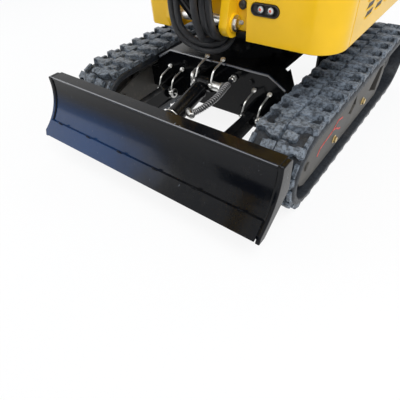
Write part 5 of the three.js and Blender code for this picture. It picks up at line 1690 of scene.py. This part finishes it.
@dataclass
class Cockpit:
    """Floor, seat, control stand, levers, hood and canopy."""

    floor: float = 650.0
    stand_top: float = 985.0
    stand_y: float = -78.0
    hood_radius: float = 684.0
    lozenge_pitch: float = 30.0
    canopy_foot: Point = (382.0, 505.0)
    rib_shares: Sequence[float] = (0.2, 0.4, 0.6, 0.8)
    seed: int = 11

    def build(self) -> None:
        """Makes every piece of the operator's place."""
        skin("floor_plate", CAST, 1.0)
        self.make_tread_plate()
        skin("seat_base", BLACK, 4.0)
        skin("seat_pan", CAST, 1.0)
        Cushion("seat_cushion").build()
        Cushion("seat_back", upright=True).build()
        skin("control_stand", BLACK, 3.0)
        self.make_levers()
        self.make_hood()
        self.make_canopy()

    def make_tread_plate(self) -> None:
        """The raised lozenges of the floor's tread plate."""
        rings = []
        for lift, reach, wide in ((-0.3, 11, 3.6), (0.9, 9.5, 2.6), (1.6, 6, 1.2)):
            rings.append([mm(math.cos(a) * reach, math.sin(a) * wide, lift)
                          for a in turns(10)])
        places = []
        for i in range(-14, 15):
            for j in range(-9, 3):
                x, y = i * self.lozenge_pitch, j * self.lozenge_pitch + 10
                inside = abs(x) < 420 and -285 < y < 52 and not (abs(x) < 150 and y < -100) \
                    and not (abs(x) < 165 and abs(y - self.stand_y - 20) < 58)
                beside_chamfer = x < -195 and y < -300 + (-195 - x) * 0.98 + 32
                if inside and not beside_chamfer and not (x > 350 and y < -210):
                    turn = Matrix.Rotation(math.radians(45 if (i + j) % 2 else -45), 3, "Z")
                    places.append((at(x, y, self.floor + 0.1), turn))
        REPEAT.set_out("floor_lozenges", Form().loft(rings), places, DARK_IRON, "house", 0.06, self.seed)

    def make_levers(self) -> None:
        """Travel levers and joysticks with knobs and boots, and the stand's plate, panel and bolts."""
        z0 = self.stand_top + 6
        rods, knobs, boots = Form(), Form(), Form()
        for x, lean, travel in ((-110, 40, False), (-36, 10, True), (36, 10, True), (110, 40, False)):
            y = self.stand_y + (0 if travel else 8)
            foot, head = at(x, y, z0), at(x, y + lean, z0 + 124)
            rods.tube(smooth_path([foot, foot.lerp(head, 0.5) + Vector((0, -0.002, 0)), head], 6), 5.5, 14)
            along = (head - foot).normalized()
            if travel:
                knobs.lathe([(0, 0), (0, 7), (4, 10.5), (18, 11.5), (34, 10), (50, 11.5), (60, 10), (66, 5),
                             (66, 0)],
                            head, along, 28)
            else:
                knobs.lathe([(0, 0), (0, 8), (6, 12), (24, 13), (40, 12), (54, 14.5), (64, 13), (69, 7),
                             (69, 0)],
                            head, along, 28)
            profile = [(0, 0), (0, 24)]
            for k in range(5):
                r = 23 - 3.2 * k
                profile += [(3 + 7 * k, r), (6.5 + 7 * k, r - 3.4)]
            profile += [(38, 6), (38, 0)]
            boots.lathe(profile, at(x, y, z0 - 1), Vector((0, lean, 124)).normalized(), 28)
        obj = piece("lever_rods", rods, ZINC, "house")
        stand_in(obj, "control_levers")
        piece("lever_knobs", knobs, PLASTIC, "house")
        piece("lever_boots", boots, GROMMET, "house")
        plate = Form().block(-136, 136, self.stand_y - 10, self.stand_y + 30, self.stand_top - 1, z0)
        piece("lever_plate", plate, PLASTIC, "house", 1.5)
        bolts("stand_bolts", [(at(x, self.stand_y - 17.5, z), (0, -1, 0)) for x in (-132, 132)
                              for z in (690, 920)],
              ZINC, "house", 12, 6)
        panel = Form().block(-120, 120, self.stand_y + 61, self.stand_y + 63.5, 700, 900)
        piece("stand_panel", panel, PLASTIC, "house", 1.0)

    def make_hood(self) -> None:
        """The engine hood with its louvres and handle."""
        skin("engine_hood", YELLOW, 6.0)
        slat = Form()
        slat.loft([[mm(x, y, z) for y, z in ((-5, -0.5), (4, -0.5), (1.5, 3.6), (-5, 3.2))]
                   for x in (-62, 62)])
        places = []
        for i in (-1, 1):
            for k in range(7):
                x = i * 140.0
                y = math.sqrt(self.hood_radius ** 2 - x ** 2)
                out = Vector((x, y, 0)).normalized()
                turn = Matrix((UPWARDS.cross(out), UPWARDS, out)).transposed()
                places.append((at(x, y - 0.4, 700 + 22 * k), turn))
        REPEAT.set_out("hood_louvres", slat, places, BLACK, "hood")
        grip = Form()
        path = [at(-55, 682, 865), at(-52, 700, 865), at(-40, 706, 865), at(40, 706, 865), at(52, 700, 865),
                at(55, 682, 865)]
        path = [p - Vector((0, 0.013, 0)) for p in path]
        grip.tube(smooth_path(path, 5), 5.0, 12)
        piece("hood_handle", grip, PLASTIC, "hood")

    def make_canopy(self) -> None:
        """The canopy's tubes, roof, feet bolts and roof ribs."""
        skin("canopy_frame", BLACK, 4.0)
        skin("canopy_roof", YELLOW, 9.0)
        low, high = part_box("canopy_roof")
        ribs = Form()
        for share in self.rib_shares:
            x = low.x / MM + (high.x - low.x) / MM * share
            rings = []
            y0, y1 = low.y - SLEW_Y + 0.11, high.y - SLEW_Y - 0.11
            for y, half, drop in ((y0, 5, 0.2), (y0 + 0.02, 13, 0.4), (y1 - 0.02, 13, 0.4), (y1, 5, 0.2)):
                z = low.z / MM
                rings.append([at(x + half, y / MM, z + 0.5), at(x + half * 0.6, y / MM, z - 4 * drop),
                              at(x - half * 0.6, y / MM, z - 4 * drop), at(x - half, y / MM, z + 0.5)])
            ribs.loft(rings)
        piece("roof_ribs", ribs, YELLOW, "house", 0.6)
        places = [(at(s * self.canopy_foot[0] + i, self.canopy_foot[1] + j, 702.2), (0, 0, 1)) for s in (-1, 1)
                  for i in (-32, 32)
                  for j in (-45, 45)]
        bolts("canopy_foot_bolts", places, ZINC, "house", 17, 10)


# ---- boom, arm and bucket


@dataclass
class Digger:
    """Boom, arm, linkage and bucket with their pins and pipes."""

    bead: float = 1.4

    def build(self) -> None:
        """Makes every piece of the digging equipment."""
        for node, finish, edge in (("boom", YELLOW, 3.0), ("arm", YELLOW, 3.0), ("bucket", WORN_BLACK, 1.6),
                                   ("push_link", CAST, 1.6), ("rocker_link_left", CAST, 1.6),
                                   ("rocker_link_right", CAST, 1.6), ("boom_pipes", ZINC, 0.0)):
            skin(node, finish, edge)
        self.make_pins()
        self.make_bucket_wear()

    def make_pins(self) -> None:
        """Pins at the boom's tip, the cylinders' feet, the linkage and the bucket."""
        for name, joint, body, half in (
                ("boom_tip_pin", "arm_swing", "boom", 62),
                ("arm_cylinder_pin", "arm_cylinder_tilt", "boom", 44),
                ("bucket_cylinder_pin", "bucket_cylinder_tilt", "arm", 46),
                ("rocker_pivot_pin", "rocker_turn", "arm", 64), ("bucket_pin", "bucket_curl", "arm", 62)):
            form = Form()
            y, z = joint_place(joint)
            pin(form, -half - 2, half + 2, y, z, PIN_RADIUS, PIN_RADIUS + 4)
            piece(name, form, ZINC, body)

    def make_bucket_wear(self) -> None:
        """A worn bead round each of the bucket's cheeks."""
        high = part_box("bucket")[1]
        cheek = self.outline([v.co
                              for v in frame["nodes"]["bucket"].data.vertices if abs(v.co.x - high.x) < 1e-4])
        form = Form()
        for sign in (-1, 1):
            x = sign * (high.x - 0.004) / MM
            form.tube([at(x, (y - SLEW_Y) / MM, z / MM) for y, z in cheek], self.bead, 8)
        piece("bucket_edge_beads", form, WORN_STEEL, "bucket")

    def outline(self, points: Sequence[Vector]) -> list[Point]:
        """The convex outline of points in y and z, in metres."""
        flat = sorted({(round(p.y, 5), round(p.z, 5)) for p in points})

        def half_hull(row: Sequence[Point]) -> list[Point]:
            """One side of the outline."""
            kept: list[Point] = []
            for p in row:
                while len(kept) > 1:
                    (ax, ay), (bx, by) = kept[-2], kept[-1]
                    if (bx - ax) * (p[1] - ay) - (by - ay) * (p[0] - ax) > 0:
                        break
                    kept.pop()
                kept.append(p)
            return kept
        return half_hull(flat)[:-1] + half_hull(flat[::-1])[:-1]


def main() -> None:
    """Builds the studio and every sub-assembly."""
    logging.basicConfig(level=logging.INFO, format="%(name)s: %(message)s")
    Studio().build()
    CentreFrame().build()
    Blade().build()
    for side in Side:
        Track(side).build()
    Ram("blade_cylinder", "blade_cylinder_tilt", "blade_rod_slide", 30, 16, 22, 24, 26, False).build()
    Ram("boom_cylinder", "boom_cylinder_tilt", "boom_rod_slide", 33, 18, 25, 25, 168).build()
    Ram("arm_cylinder", "arm_cylinder_tilt", "arm_rod_slide", 30, 16, 25, 24, 122).build()
    Ram("bucket_cylinder", "bucket_cylinder_tilt", "bucket_rod_slide", 26, 14, 25, 22, 177).build()
    BladeHose().build()
    House().build()
    BoomHoses().build()
    Cockpit().build()
    Digger().build()
    LOG.info("sizes written")


if __name__ == "__main__":
    main()
